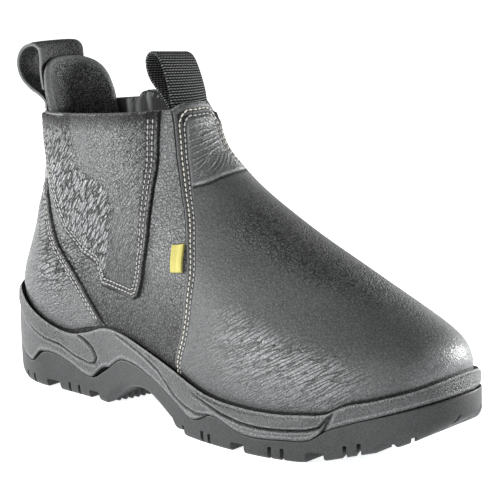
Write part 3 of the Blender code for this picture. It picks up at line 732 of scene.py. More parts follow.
# %% Sole lines
TOP_EDGE = [
    Level(0, 53), Level(18, 50), Level(38, 41.5), Level(52, 36), Level(67, 34), Level(80, 37),
    Level(97, 42.5), Level(113, 42.3), Level(130, 39.5), Level(161, 33.5), Level(187, 25.6), Level(217, 22.8),
    Level(249, 25), Level(261, 27), Level(268, 31), Level(282, 34.8), Level(303, 42.8), Level(308, 46.5),
]
PARTING = [
    Level(0, 20), Level(20, 18.5), Level(35, 14.0), Level(44, 20.6), Level(52, 21.2), Level(65, 18.2),
    Level(86, 13.4), Level(97, 19.6), Level(111, 28.2), Level(122, 28.9), Level(141, 25.4), Level(165, 17.4),
    Level(178, 11.5), Level(193, 16.4), Level(214, 10.8), Level(239, 11.3), Level(253, 13), Level(261, 18),
    Level(271, 22.3), Level(286, 27), Level(308, 34),
]
TREAD_LINE = [
    Level(0, 5.5), Level(14, 1.5), Level(28, 0), Level(95, 0), Level(101, 4.5), Level(110, 11),
    Level(124, 15.8), Level(139, 15.4), Level(150, 11.2), Level(158, 7.2), Level(160.5, 5.8), Level(161.5, 4.2),
    Level(162.5, 2.9), Level(166, 2.4), Level(169.4, 2.3), Level(170.6, 0.3), Level(171.6, 0),
    Level(175, 0), Level(246, 0), Level(257, 1.5), Level(272, 5), Level(287, 8.5), Level(298, 13),
    Level(308, 19.5),
]
WallRow = namedtuple("WallRow", "share inset lip")
SOLE_WALL = [
    WallRow(0.00, 2.6, 0.0), WallRow(0.02, 1.5, 0.0), WallRow(0.05, 0.6, 0.0), WallRow(0.09, 0.15, 0.0),
    WallRow(0.14, 0.0, 0.0), WallRow(0.50, 0.0, 0.08),
    WallRow(0.75, 0.0, 0.35), WallRow(0.93, 0.0, 0.8), WallRow(1.00, 0.0, 1.0),
]
GAP, PART_GAP = 0.35, 0.15
LIP, LIP_THINNED = 3.6, 1.1
FLOOR_THICKNESS = 5.0
COLUMNS = 1100
PHI = even_angles(COLUMNS)


def tread_line(x):
    """Underside of the sole: flat on the floor under heel and ball, hollow at the arch, sprung at the toe."""
    return np.maximum(level(TREAD_LINE, x), 0.0)


def outward(ring):
    """Level unit normals of a closed ring: its run turned by a right angle."""
    run = np.roll(ring[:, :2], -1, axis=0) - np.roll(ring[:, :2], 1, axis=0)
    normal = np.column_stack([run[:, 1], -run[:, 0], np.zeros(len(run))])
    return normal / np.linalg.norm(normal, axis=1, keepdims=True)


outline = np.column_stack([*plan(SOLE, PHI), np.zeros(COLUMNS)])
facing = outward(outline)


def above_edge(t):
    """Height of the upper above the sole's top edge."""
    point = upper_point(t, PHI)
    return point[:, 2] - level(TOP_EDGE, point[:, 0])


edge_share = climb(above_edge, np.zeros(COLUMNS))
edge = beside_upper(edge_share, PHI, np.full(COLUMNS, GAP))
edge_out = outward(edge)
lip_reach = LIP - LIP_THINNED * np.abs(edge_out[:, 0]) ** 3
lip = edge + lip_reach[:, None] * edge_out
ground = tread_line(outline[:, 0])


def wall(share):
    """Side wall at a share of its height: the outline moved in by the inset and over towards the lip."""
    shares = [row.share for row in SOLE_WALL]
    inset = np.interp(share, shares, [row.inset for row in SOLE_WALL])[..., None]
    over = curve(shares, [row.lip for row in SOLE_WALL], share)[..., None]
    point = outline - inset * facing
    point = point + over * (lip - point)
    point[..., 2] = ground + share * (lip[:, 2] - ground)
    return point


print("wall height", (lip[:, 2] - ground).min().round(1), "to", (lip[:, 2] - ground).max().round(1), "mm")

# %% [markdown]
# ## Midsole
# The foam wall is modelled in low relief: a round roll under the leather, a thin bead below it at the
# forefoot, a raised tongue at the heel, a bumper round the toe, and grooves between them. Each is a line in
# the side view, and the wall moves in or out by how far a point is from it, as a mould maker would cut it.

# %% Relief of the foam
Groove = namedtuple("Groove", "line depth width start")
ROLL_GROOVE = [
    (104, 43), (118, 39.9), (133, 36.3), (149, 31.3), (157, 26.1), (164, 20.9), (174, 17.1), (183, 15.6),
    (192, 16.6)]
BEAD_GROOVE = [
    (172, 27.6), (180, 25.2), (188, 22.7), (200.6, 18.9), (213.6, 16.5), (225, 15.9), (239, 16.6),
    (252, 18.2), (258, 20.2), (262.5, 25.8)]
TOE_GROOVE = [(253, 12), (258.6, 16.5), (264.5, 27.7), (266.5, 31.5)]
GROOVES = [
    Groove(ROLL_GROOVE, 1.0, 0.6, 0.06), Groove(BEAD_GROOVE, 1.3, 0.65, 0.2),
    Groove(TOE_GROOVE, 1.5, 0.7, 0.01)]
TONGUE_LOW = [
    (0, 45.5), (10, 44.5), (20, 41.5), (27, 37.4), (37, 32.5), (47, 28.7), (57.9, 27.2), (71.3, 22.7),
    (82.8, 20.8)]
TONGUE_TIP = [(87.6, 21.6)]
TONGUE_HIGH = [(89.4, 25.4), (86, 30), (79.6, 33.4), (72, 35.4)]
TONGUE = TONGUE_LOW + TONGUE_TIP + TONGUE_HIGH
TONGUE_ROOF = [(72, 36), (79.6, 33.4), (86, 30), (89.4, 25.4)]
TONGUE_DEPTH, TONGUE_WIDTH = 1.3, 0.6
# Painted highlight beside the grooves: how far out from a groove it runs, and its width.
EDGE_OFFSET, HIGHLIGHT_WIDTH = 1.4, 0.5
Slit = namedtuple("Slit", "x reach height")
SLITS = [Slit(39.5, 5, 1.9), Slit(92.5, 7.5, 2.6)]


def zone(x, start, rise, end, fall):
    """Stretch along the boot: a soft step up from start and a soft step down from end."""
    return ease((x - start) / rise) * (1 - ease((x - end) / fall))


def between(z, low, high):
    """Roundness across a band: 1 on its middle line and 0 at its low and high edges."""
    middle, half = (low + high) / 2, np.maximum((high - low) / 2, 0.5)
    return np.sqrt(np.clip(1 - ((z - middle) / half) ** 2, 0, 1))


def line_height(line, x):
    """Height at x of a line given by its points, as a smooth curve through them."""
    line = np.asarray(line)
    return curve(line[:, 0], line[:, 1], x)


def midsole_relief(x, z):
    """How far the foam stands out at x and z, rolls and beads raised between grooves that are cut in, and
    with it the grooves' painted shade and the painted highlights on the edges beside them."""
    top, parting = level(TOP_EDGE, x), level(PARTING, x)
    roll, bead = line_height(ROLL_GROOVE, x), line_height(BEAD_GROOVE, x)
    fore, waist, heel = zone(x, 172, 16, 256, 6), zone(x, 98, 14, 186, 10), zone(x, 40, 5, 84, 5)
    toe = ease((x - 261) / 5)
    out = 1.5 * fore * between(z, bead, top) + 1.0 * fore * between(z, parting, bead)
    out += 0.9 * waist * (1 - fore) * between(z, roll, top) + 0.6 * waist * between(z, parting, roll)
    out += 1.1 * toe * between(z, parting, top) + 0.7 * heel * between(z, parting, parting + 4.6)
    low = np.interp(x, *np.transpose(TONGUE_LOW))
    high = np.interp(x, *np.transpose(TONGUE_ROOF))
    (open_x, _), (end_x, _) = TONGUE_ROOF[0], TONGUE_ROOF[-1]
    inside = (x < end_x) & (z > low) & ((x < open_x) | (z < high))
    d, _ = line_distance(x, z, TONGUE)
    cuts = TONGUE_DEPTH * bell(d, TONGUE_WIDTH)
    highlighted = bell(d - EDGE_OFFSET, HIGHLIGHT_WIDTH)
    out += 0.8 * inside * ease(d / EDGE_OFFSET)
    for groove in GROOVES:
        d, s = line_distance(x, z, groove.line)
        fade = ease(s / groove.start)
        cuts = cuts + groove.depth * bell(d, groove.width) * fade
        highlighted = np.maximum(highlighted, bell(d - EDGE_OFFSET, HIGHLIGHT_WIDTH) * fade)
    # Besides the relief: painted shade in the grooves and the painted highlight beside them.
    return out - cuts, np.clip(cuts / TONGUE_DEPTH, 0, 0.92), highlighted


def lens(x):
    """Opening of the two dark slits under the waves, each a rounded hump along x."""
    return sum(slit.height * np.clip(1 - ((x - slit.x) / slit.reach) ** 2, 0, 1) for slit in SLITS)


foot_z = level(PARTING, outline[:, 0]) + PART_GAP + lens(outline[:, 0])
print("parting line", foot_z.min().round(1), "to", foot_z.max().round(1), "mm high")

# %% Midsole
MIDSOLE_ROWS = 62
FOOT_ROUND, FOOT_SHADE = 0.9, 0.7
CORE_INSET = 6.0
LIP_PROFILE = [
    (3.35, 0.45), (3.0, 0.7), (2.7, 0.5), (2.35, -0.6), (2.05, -1.3), (1.8, -1.0), (1.5, -0.55), (1.25, -0.8),
    (1.05, -2.4), (0.7, -7.0)]
# Painted shade down the lip's inner steps into the gap beside the leather, one value for each step of the
# profile.
LIP_SHADE = [0.0, 0.0, 0.2, 0.85, 0.95, 0.7, 0.1, 0.7, 1.0, 1.0]

foot_share = (foot_z - ground) / (lip[:, 2] - ground)
rise = np.concatenate([[0, 0.006, 0.016, 0.03], np.linspace(0.05, 1, MIDSOLE_ROWS - 4)])[:, None]
midsole_wall = wall(foot_share + rise * (1 - foot_share))
above_foot = midsole_wall[..., 2] - foot_z
below_lip = lip[:, 2] - midsole_wall[..., 2]
relief, wall_shade, highlighted = midsole_relief(midsole_wall[..., 0], midsole_wall[..., 2])
relief *= ease(below_lip / 1.0)
relief -= FOOT_ROUND * (1 - rounded(above_foot, FOOT_ROUND))
midsole_wall += relief[..., None] * facing
core = outline - CORE_INSET * facing
core[:, 2] = np.minimum(level(PARTING, core[:, 0]), level(FEATHER, core[:, 0]) - FLOOR_THICKNESS) + 0.2
rim = [edge + (lip_reach * out / LIP)[:, None] * edge_out + [0, 0, up] for out, up in LIP_PROFILE]
floor = beside_upper(np.zeros(COLUMNS), PHI, np.full(COLUMNS, GAP))
floor[:, 2] = level(FEATHER, floor[:, 0]) - GAP
# Painted shade along the dark parting line; painted highlight in a band above the parting and at the lip's top
# edge.
wall_shade = np.maximum(wall_shade, 0.8 * (1 - ease(above_foot / FOOT_SHADE)))
highlighted = np.maximum(highlighted, np.maximum(bell(above_foot - 2.0, 0.6), 1 - ease(below_lip / 1.2)))
one = np.ones((1, COLUMNS))
# The core and the floor ring under the footbed are painted fully dark, as shade; the lip's two top rows take
# the painted highlight.
midsole_marks = {
    "shade": np.concatenate([one, wall_shade, *(one * shade for shade in LIP_SHADE), one]),
    "edge": np.concatenate([0 * one, highlighted, one, one, *[0 * one] * (len(LIP_PROFILE) - 1)])}
midsole_rings = np.concatenate([[core], midsole_wall, rim, [floor]])
show(to_mesh("midsole_wall", *capped(midsole_rings)), midsole_foam, "midsole", midsole_marks)

# %% [markdown]
# ## Outsole
# The rubber is the lower part of the same wall, closed underneath. Its lugs are left standing by cutting:
# slots right across the tread, narrow slits in from the edges, and a pair of long channels under the heel and
# under the ball. A slot's cutter is a rounded profile pushed across the sole, so that each lug gets a soft
# corner at the floor; a Boolean does the cutting, as a milling machine would in the mould.

# %% Cuts of the tread
Slot = namedtuple("Slot", "x width depth")
EdgeSlit = namedtuple("EdgeSlit", "x width reach depth slant", defaults=[0.0])
Channel = namedtuple("Channel", "start end side width depth")
Cut = namedtuple("Cut", "centre reach sideways profile floor slant")
SLOTS = [
    Slot(51.5, 11, 5.4), Slot(85.7, 8.5, 5.4), Slot(170.2, 1.8, 5.4), Slot(211, 9, 5.4), Slot(255, 9, 5.4),
    Slot(286, 8, 4.8)]
EDGE_SLITS = [
    EdgeSlit(27.8, 1.8, 9, 6.5), EdgeSlit(35.5, 1.8, 13, 6.5), EdgeSlit(65, 1.8, 13, 6.5),
    EdgeSlit(73, 1.8, 13, 6.5), EdgeSlit(186, 2.4, 16, 7.0), EdgeSlit(191.5, 2.0, 16, 6.5),
    EdgeSlit(231, 2.2, 16, 7.0), EdgeSlit(238, 2.2, 16, 7.0), EdgeSlit(269, 2.0, 16, 7.0),
    EdgeSlit(275.5, 2.0, 16, 7.0), EdgeSlit(296.5, 3.0, 10, 3.5), EdgeSlit(306.5, 1.3, 7, 5.5, -0.8),
]
CHANNELS = [
    Channel(10, 94, -15, 5, 4.5), Channel(10, 94, 15, 5, 4.5),
    Channel(172, 287, -21, 6, 4.5), Channel(172, 287, 19, 6, 4.5),
]
CUT_BELOW, CUT_PAST = -6.0, 12.0
TREAD_HALF = 90.0
SLOT_CORNER, SLOT_CORNER_SHARE, SLIT_CORNER = 1.2, 0.35, 0.45
CHANNEL_STEPS = 24


def slot_profile(width, depth, corner):
    """Half profile of a slot, floor to roof: flared by a round at the floor, straight, and rounded at the
    roof."""
    a = np.linspace(0, np.pi / 2, 5)
    flare = np.column_stack([width / 2 + corner * (1 - np.sin(a)), corner * (1 - np.cos(a))])
    roof = np.column_stack([width / 2 - corner * (1 - np.cos(a)), depth - corner * (1 - np.sin(a))])
    below = [(width / 2 + corner, CUT_BELOW)]
    return np.concatenate([below, flare, roof])


def cutter(name, cuts):
    """Prisms for cutting: each profile, mirrored, leant over by its slant and closed, pushed along its
    reach."""
    points, faces = [], []
    for cut in cuts:
        loop = np.concatenate([cut.profile, cut.profile[::-1] * [-1, 1]])
        ring = cut.centre + (loop[:, :1] + cut.slant * loop[:, 1:]) * cut.sideways
        ring[:, 2] = loop[:, 1] + cut.floor
        n, start = len(loop), 2 * len(loop) * len(points)
        points.append(np.concatenate([ring, ring + cut.reach]))
        j = np.arange(n)
        after = (j + 1) % n
        faces += (np.stack([j, after, after + n, j + n], axis=-1) + start).tolist()
        faces += [(j + start).tolist(), (j[::-1] + n + start).tolist()]
    mesh = bpy.data.meshes.new(name)
    mesh.from_pydata(place(np.concatenate(points)).tolist(), [], faces)
    return face_outwards(mesh, triangles=True)


def slot_cut(slot):
    """Cut straight across the sole."""
    corner = min(SLOT_CORNER, SLOT_CORNER_SHARE * slot.width)
    return Cut(
        np.array([slot.x, -TREAD_HALF, 0]), np.array([0, 2 * TREAD_HALF, 0]), np.array([1.0, 0, 0]),
        slot_profile(slot.width, slot.depth, corner), float(tread_line(slot.x)), 0.0)


def slit_cuts(slit):
    """Cuts in from both edges of the sole, square to its outline."""
    column = int(np.argmin(np.abs(outline[:COLUMNS // 2, 0] - slit.x)))
    for j in (column, (COLUMNS - column) % COLUMNS):
        out = facing[j]
        yield Cut(
            outline[j] - slit.reach * out, (slit.reach + CUT_PAST) * out, np.array([out[1], -out[0], 0]),
            slot_profile(slit.width, slit.depth, SLIT_CORNER), float(tread_line(slit.x)), slit.slant)


def channel_tool(name, channel):
    """Square bar that follows the sole's middle line at a distance to one side."""
    x = np.linspace(channel.start, channel.end, CHANNEL_STEPS)
    low, high = np.full_like(x, CUT_BELOW), tread_line(x) + channel.depth
    corners = ((-1, low), (1, low), (1, high), (-1, high))
    y = lean(x) + channel.side
    bar = np.stack([np.column_stack([x, y + s * channel.width / 2, z]) for s, z in corners], axis=1)
    last = (CHANNEL_STEPS - 1) * 4
    caps = np.array([[3, 2, 1, 0], [last, last + 1, last + 2, last + 3]])
    return to_mesh(name, bar.reshape(-1, 3), np.concatenate([quads(CHANNEL_STEPS, 4, True), caps]))


def carve(mesh, tools):
    """Mesh with each tool mesh cut out of it in turn."""
    body = bpy.data.objects.new("blank", mesh)
    bpy.context.scene.collection.objects.link(body)
    made = [body]
    for tool in tools:
        knife = bpy.data.objects.new(tool.name, tool)
        bpy.context.scene.collection.objects.link(knife)
        made.append(knife)
        modifier = body.modifiers.new(tool.name, "BOOLEAN")
        modifier.operation, modifier.solver, modifier.object = "DIFFERENCE", "EXACT", knife
    bpy.context.view_layer.update()
    result = bpy.data.meshes.new_from_object(body.evaluated_get(bpy.context.evaluated_depsgraph_get()))
    for obj in made:
        bpy.data.objects.remove(obj, do_unlink=True)
    return result


tools = [
    cutter("slots", [slot_cut(slot) for slot in SLOTS]),
    cutter("slits", [cut for slit in EDGE_SLITS for cut in slit_cuts(slit)]),
    *[channel_tool(f"channel_{i}", channel) for i, channel in enumerate(CHANNELS)]]
print("tread tools", [tool.name for tool in tools])

# %% Outsole
OUTSOLE_ROWS = 22
TOP_ROUND = 0.8
TOE_BULGE, TOE_BULGE_FROM, TOE_BULGE_RUN = 1.4, 270, 28

top_share = (level(PARTING, outline[:, 0]) - PART_GAP - ground) / (lip[:, 2] - ground)
climbing = np.concatenate([
    [0, 0.015, 0.035, 0.07], np.linspace(0.12, 0.88, OUTSOLE_ROWS - 8), [0.93, 0.965, 0.985, 1.0]])[:, None]
outsole_wall = wall(climbing * top_share)
below_top = level(PARTING, outline[:, 0]) - outsole_wall[..., 2]
bulge = TOE_BULGE * ease((outline[:, 0] - TOE_BULGE_FROM) / TOE_BULGE_RUN) * ease(climbing / 0.35)
outsole_wall += (bulge - TOP_ROUND * (1 - rounded(below_top, TOP_ROUND)))[..., None] * facing
blank = to_mesh("outsole_blank", *capped(np.concatenate([outsole_wall, [core - [0, 0, 0.4]]])))
outsole_mesh = carve(face_outwards(blank, triangles=True), tools)
outsole_mesh.name = "outsole_lugs"
show(outsole_mesh, outsole_rubber, "outsole", sharp=35.0)

# %% Heel breast
RIBS, RIB_PITCH, RIB_DEPTH, RIB_STEPS, BREAST_ROWS = 19, 3.6, 2.2, 10, 15
BREAST_EDGE, BREAST_BULGE, BREAST_HALF, BREAST_BACK = 96.2, 9.5, 38, 91.5
RIB_FULLNESS = 0.35

rib_y = np.linspace(-0.5, 0.5, RIBS * RIB_STEPS + 1)[None, :] * RIBS * RIB_PITCH
up_breast = np.linspace(0, 1, BREAST_ROWS)[:, None]
breast_front = BREAST_EDGE + BREAST_BULGE * (1 - (rib_y / BREAST_HALF) ** 2)
wave = np.cos(2 * np.pi * rib_y / RIB_PITCH) + RIB_FULLNESS
ridge = np.sqrt(np.clip(wave, 0, 1 + RIB_FULLNESS) / (1 + RIB_FULLNESS))
breast_low = 0.25 + 1.6 * (1 - ridge)
breast_z = breast_low + (tread_line(breast_front + 3.0) + 1.0 - breast_low) * up_breast
knob = RIB_DEPTH * (ridge * rounded(breast_z - breast_low + 0.3, 1.5) - 1)
breast = [
    np.stack(np.broadcast_arrays(x, rib_y, breast_z), axis=-1)
    for x in (BREAST_BACK + 0 * breast_z, breast_front + 2.0 * up_breast + knob)]
sheet("heel_breast_ribs", *breast, outsole_rubber, "outsole_compound")

# %% [markdown]
# ## The upper's base
# Under the panels runs one continuous shell: the quarter leather outside, the lining inside, and a rolled
# rim at the collar. It is a ring of columns carried up the last, over the rim and down again inside.

# %% Creases
Crease = namedtuple("Crease", "start end bow width depth")
CREASE_STEPS = 9


def crease_line(crease, side):
    """Points of a crease on the leather: a straight run, in the front view for side 0 and else in the side
    view, with a bow at its middle."""
    s = np.linspace(0, 1, CREASE_STEPS)
    start, end = np.array(crease.start, float), np.array(crease.end, float)
    run = end - start
    across_run = np.array([-run[1], run[0]]) / np.linalg.norm(run)
    flat = start + s[:, None] * run + (crease.bow * 4 * s * (1 - s))[:, None] * across_run
    t, phi = on_front(flat[:, 0], flat[:, 1]) if side == 0 else on_side(flat[:, 0], flat[:, 1], side)
    return upper_point(t, phi)


def crease_relief(points, creases, side):
    """Sum of soft troughs with raised shoulders: depth times one less the square of distance over width,
    times the bell of that distance, tapered to both ends; a negative depth makes a ridge."""
    total = np.zeros(points.shape[:-1])
    for crease in creases:
        line = crease_line(crease, side)
        reach = np.linalg.norm(line[-1] - line[0]) + 4 * crease.width
        near = np.linalg.norm(points - line.mean(axis=0), axis=-1) < reach
        spot = points[near]
        best, share = np.full(len(spot), 1e9), np.zeros(len(spot))
        for i in range(len(line) - 1):
            run = line[i + 1] - line[i]
            s = np.clip((spot - line[i]) @ run / (run @ run), 0, 1)
            d = np.linalg.norm(spot - line[i] - s[:, None] * run, axis=-1)
            share = np.where(d < best, (i + s) / (len(line) - 1), share)
            best = np.minimum(best, d)
        q = (best / crease.width) ** 2
        total[near] -= crease.depth * (1 - q) * np.exp(-q) * np.sqrt(np.sin(np.pi * np.clip(share, 0, 1)))
    return total


print("points along a crease:", CREASE_STEPS)

# %% Collar and lip lines
HUMP_HEIGHT = 3.6
FRONT_RISE = [
    (-20, 0.0), (-15, 0.0), (-12, 1.7), (-4, 1.9), (2, 1.6), (6.4, 0.0), (10.5, -4.8), (14, -6.0), (40, -6.0)]
COLLAR_FADE = 14.0
LIP_BAND, LIP_BAND_FADE = 1.3, 0.9


def collar_rise(points, from_collar):
    """Rise of the collar line: on the inner side a steep step along x that falls away slowly, and at the
    front a curve over y that stands up behind the tape and falls away to the inner side; both fade down from
    the collar."""
    x, y = points[..., 0], points[..., 1]
    hump = HUMP_HEIGHT * zone(x, 61.5, 5, 69, 14) * ease(y / 8)
    front = line_height(FRONT_RISE, y) * ease((x - 110) / 14)
    return (hump + front) * (1 - ease(from_collar / COLLAR_FADE))


def beside_lip(points):
    """Painted shadow on the leather beside the sole's lip: 1 up to LIP_BAND above the top edge, then easing to
    0.
    """
    return 1 - ease((points[..., 2] - level(TOP_EDGE, points[..., 0]) - LIP_BAND) / LIP_BAND_FADE)


print("collar hump", HUMP_HEIGHT, "mm, dark band beside the lip", LIP_BAND, "mm")

# %% Shell
HEEL_CREASES = [
    Crease((20, 96), (47, 103), -1.5, 1.3, 0.55), Crease((21, 91), (48, 99), -1.5, 1.3, 0.6),
    Crease((22, 87.5), (49, 94), -1.2, 1.2, 0.5), Crease((26, 83), (50, 88), -1.0, 1.2, 0.45),
]
SHELL_COLUMNS, SHELL_ROWS, LINING_ROWS = 300, 120, 26
COLLAR_PROFILE = [(-0.35, 0.7), (-1.2, 1.05), (-2.05, 0.7)]
SHELL_WRINKLE_ANGLE = 27

shell_phi = even_angles(SHELL_COLUMNS)[None, :]
t, phi = np.broadcast_arrays(np.linspace(0, 1, SHELL_ROWS)[:, None], shell_phi)
base = upper_point(t, phi)
lift = crease_relief(base, HEEL_CREASES, LATERAL) + crease_relief(base, HEEL_CREASES, MEDIAL)
outer = beside_upper(t, phi, lift)
top = np.ones((1, SHELL_COLUMNS))
rim = [beside_upper(top, shell_phi, top * out) + [0, 0, up] for out, up in COLLAR_PROFILE]
t_in, phi_in = np.broadcast_arrays(np.linspace(1, 0, LINING_ROWS)[:, None], shell_phi)
inner = beside_upper(t_in, phi_in, np.full(t_in.shape, -WALL))
grid = np.concatenate([outer, *rim, inner])
grid[..., 2] += collar_rise(grid, grid[SHELL_ROWS][None, :, 2] - grid[..., 2])
rows = len(grid)
joint = quads(2, SHELL_COLUMNS, True)
joint = np.where(joint < SHELL_COLUMNS, joint + (rows - 1) * SHELL_COLUMNS, joint - SHELL_COLUMNS)
faces = np.concatenate([quads(rows, SHELL_COLUMNS, True), joint])
grained = np.zeros((rows, SHELL_COLUMNS))
grained[:SHELL_ROWS + len(COLLAR_PROFILE)] = 1.0
shell_x, shell_z = grid[..., 0], grid[..., 2]
drawn = 0.55 * grained * bell(np.hypot((shell_x - 70) / 16, (shell_z - 81) / 12), 1.0)
# Painted shade darker towards the bottom, and the painted shadow beside the sole's lip; painted highlight a
# little everywhere, more higher up and on the wrinkles by the heel.
low_shade = 0.52 * (1 - ease((shell_z - 45) / 50))
shell_marks = {
    "pebble": grained * (0.75 - 0.2 * ease((shell_z - 95) / 20)),
    "drawn": drawn,
    "shade": grained * np.maximum(low_shade, 0.75 * beside_lip(grid)),
    "painted_highlight": grained * (0.16 + 0.22 * ease((shell_z - 80) / 25)) + 0.6 * drawn}
shell = show(
    to_mesh("upper_shell", grid.reshape(-1, 3), faces), leather, "upper", shell_marks,
    turned(shell_x, shell_z, SHELL_WRINKLE_ANGLE) * WRINKLE_GRAIN)
shell.data.materials.append(lining)
kind = (np.arange(len(faces)) // SHELL_COLUMNS >= SHELL_ROWS + 2).astype(np.int32)
shell.data.polygons.foreach_set("material_index", kind)

# %% [markdown]
# ## Vamp
# The vamp is the big front panel. Its edge is the long seam that comes down from the collar on each side,
# so on every ring of the last it runs from the outer seam round the toe to the inner seam. It lies over the
# quarter, with a cut edge that shows as a fine step, two shallow furrows where the thread pulls in, and a
# soft panel let in at the instep that creases when the foot bends.

# %% Lines of the vamp
FRONT_SEAM = [
    (132.6, 163.8), (134.0, 159), (139.2, 137.7), (149.2, 118), (158.6, 101.7), (165.7, 85.7), (167.5, 66.4),
    (163.3, 47), (160.3, 37.5), (156.5, 22)]
MEDIAL_SEAM = [
    (135.6, 163.8), (137.4, 159), (141.0, 151), (145.0, 143.6), (148.6, 136.5), (152.0, 124), (155.5, 112),
    (159.0, 101.7), (165.5, 85.7), (167.0, 66.4), (163.0, 47), (160.0, 37.5), (156, 22)]
Ridge = namedtuple("Ridge", "start end bow height")
SADDLE_RIDGE_WIDTH = 0.5
SADDLE_RIDGES = [
    Ridge((-12.5, 155.6), (3.0, 157.0), 0.5, 0.20), Ridge((-14.1, 152.6), (2.4, 155.0), 0.6, 0.28),
    Ridge((-15.0, 149.4), (0.9, 151.6), 0.7, 0.34), Ridge((-15.8, 146.0), (6.0, 150.6), 0.7, 0.36),
    Ridge((-16.3, 142.6), (3.7, 147.4), 0.6, 0.38), Ridge((-16.8, 139.4), (7.0, 146.2), 0.5, 0.38),
    Ridge((-17.0, 136.6), (4.0, 143.0), 0.4, 0.38), Ridge((-17.8, 133.8), (-3.0, 141.6), -0.3, 0.38),
    Ridge((-17.7, 131.2), (-6.0, 139.8), -0.4, 0.38), Ridge((-14.4, 130.6), (-1.0, 139.4), -0.5, 0.38),
    Ridge((-11.0, 130.8), (2.0, 139.8), -0.5, 0.36), Ridge((-7.4, 131.4), (4.6, 139.6), -0.5, 0.34),
    Ridge((-3.6, 132.0), (6.4, 139.4), -0.4, 0.32), Ridge((0.4, 132.4), (8.4, 138.6), -0.4, 0.28),
    Ridge((-18.0, 127.4), (-13.0, 133.0), -0.3, 0.30), Ridge((-8.0, 158.0), (5.0, 159.0), 0.4, 0.16),
]
SADDLE_CREASES = [
    Crease(ridge.start, ridge.end, ridge.bow, SADDLE_RIDGE_WIDTH, -ridge.height) for ridge in SADDLE_RIDGES]
FLEX_CREASES = [
    Crease((209.0, 54.0), (226.0, 63.5), 0.8, 0.9, 0.05), Crease((211.0, 49.4), (230.0, 60.0), 0.8, 0.9, 0.05),
    Crease((213.0, 44.7), (235.0, 57.6), 0.8, 0.9, 0.06), Crease((217.2, 40.3), (240.5, 54.0), 0.8, 0.9, 0.06),
    Crease((223.9, 39.6), (248.2, 55.2), 0.9, 0.9, 0.06), Crease((229.8, 37.8), (253.5, 53.7), 0.8, 0.9, 0.05),
    Crease((237.1, 39.5), (257.1, 54.8), 0.7, 0.9, 0.05), Crease((205.0, 56.5), (220.0, 66.0), 0.7, 0.9, 0.04),
]
INSTEP_CREASES = [
    Crease((-23, 80.4), (-6, 86.5), 0.8, 1.0, 0.05), Crease((-16, 83.6), (10, 85.4), 0.8, 1.0, 0.05),
    Crease((-16, 94.7), (-3, 97.3), 0.6, 1.0, 0.05), Crease((-26, 113.6), (-10, 119.5), 0.8, 1.4, 0.05),
]
FLEX_LINE, FLEX_WIDTH = [(212, 54), (256, 46)], 17
FLEX_GRAIN, FLEX_ANGLE = (0.5, 1.0), 39
SHEEN_LINE = [(150, 92), (200.9, 75.9), (218, 68.6), (239, 62.1), (265, 54.3), (300, 43)]
SKIRT, SKIRT_FADE = 0.6, 1.5
STITCH_INSETS = (3.3, 5.6)
FURROW_WIDTH, FURROW_DEPTH, FURROW_DARK = 0.95, 0.45, 0.7
PATCH_BAND, PATCH_RISE = 7.0, 0.45
PATCH_LOW = [(-23, 124.4), (-16, 126.4), (-8.7, 128.8), (-0.8, 129.8), (7, 129.6), (22, 127)]


def above_sole(points):
    """Share of a panel's full thickness: thinned where it is pulled under, at the sole's top edge."""
    return 0.35 + 0.65 * ease((points[..., 2] - level(TOP_EDGE, points[..., 0])) / 6)


def edge_shade(d):
    """Painted shadow at a cut edge and in the thin gap beside it, fading inwards."""
    return 1 - ease((d - SKIRT + 0.1) / 0.6)


def sewn_rows(d, insets, width):
    """Sum of bells over the distances of the rows of stitches from a panel's edge."""
    return sum(bell(d - inset, width) for inset in insets)


def crowded(count, share):
    """Shares from 0 to 1 that crowd towards both ends: an even run less a share of its sine."""
    even = np.linspace(0, 1, count)[None, :]
    return even - share * np.sin(2 * np.pi * even) / (2 * np.pi)


def seam_angle(line, side, t):
    """Angle of a seam, given in the side view, on the rings at t."""
    line = np.array(line[::-1])
    line_t, line_phi = on_side(line[:, 0], line[:, 1], side)
    return curve(line_t, line_phi, t)


print("ridges on the soft patch:", len(SADDLE_RIDGES))

# %% Vamp
VAMP_ROWS, VAMP_COLUMNS, VAMP_CROWDING = 300, 290, 0.72
VAMP_INNER, VAMP_SEAT, VAMP_LIFT, VAMP_EDGE_ROUND = 0.05, 0.15, 1.3, 0.8

ring_t = np.linspace(0.0, 1.0, VAMP_ROWS)[:, None]
seam_near = seam_angle(FRONT_SEAM, LATERAL, ring_t)
seam_far = seam_angle(MEDIAL_SEAM, MEDIAL, ring_t)
vamp_phi = seam_near + crowded(VAMP_COLUMNS, VAMP_CROWDING) * (seam_far - seam_near)
vamp_t = np.broadcast_to(ring_t, vamp_phi.shape)
vamp_base = upper_point(vamp_t, vamp_phi)
vamp_x, vamp_y, vamp_z = np.moveaxis(vamp_base, -1, 0)
vamp_run = run_along(vamp_base, 1)
from_seam = np.minimum(vamp_run, vamp_run[:, -1:] - vamp_run)
from_top = run_along(vamp_base[::-1], 0)[::-1]
from_edge = np.minimum(from_seam, from_top)
above_patch_line = vamp_z - line_height(PATCH_LOW, vamp_y)
corner = (PATCH_BAND / np.maximum(from_seam, 1.0)) ** 4 + (PATCH_BAND / np.maximum(from_top, 1.0)) ** 4
patch = ease(above_patch_line / 0.9) * ease((1 - corner) * 3.0 + 0.5)
creased = patch * crease_relief(vamp_base, SADDLE_CREASES, 0) + crease_relief(vamp_base, INSTEP_CREASES, 0)
creased += crease_relief(vamp_base, FLEX_CREASES, LATERAL) + crease_relief(vamp_base, FLEX_CREASES, MEDIAL)
vamp_relief = creased + PATCH_RISE * patch - FURROW_DEPTH * sewn_rows(from_edge, STITCH_INSETS, FURROW_WIDTH)
full = VAMP_LIFT * above_sole(vamp_base)
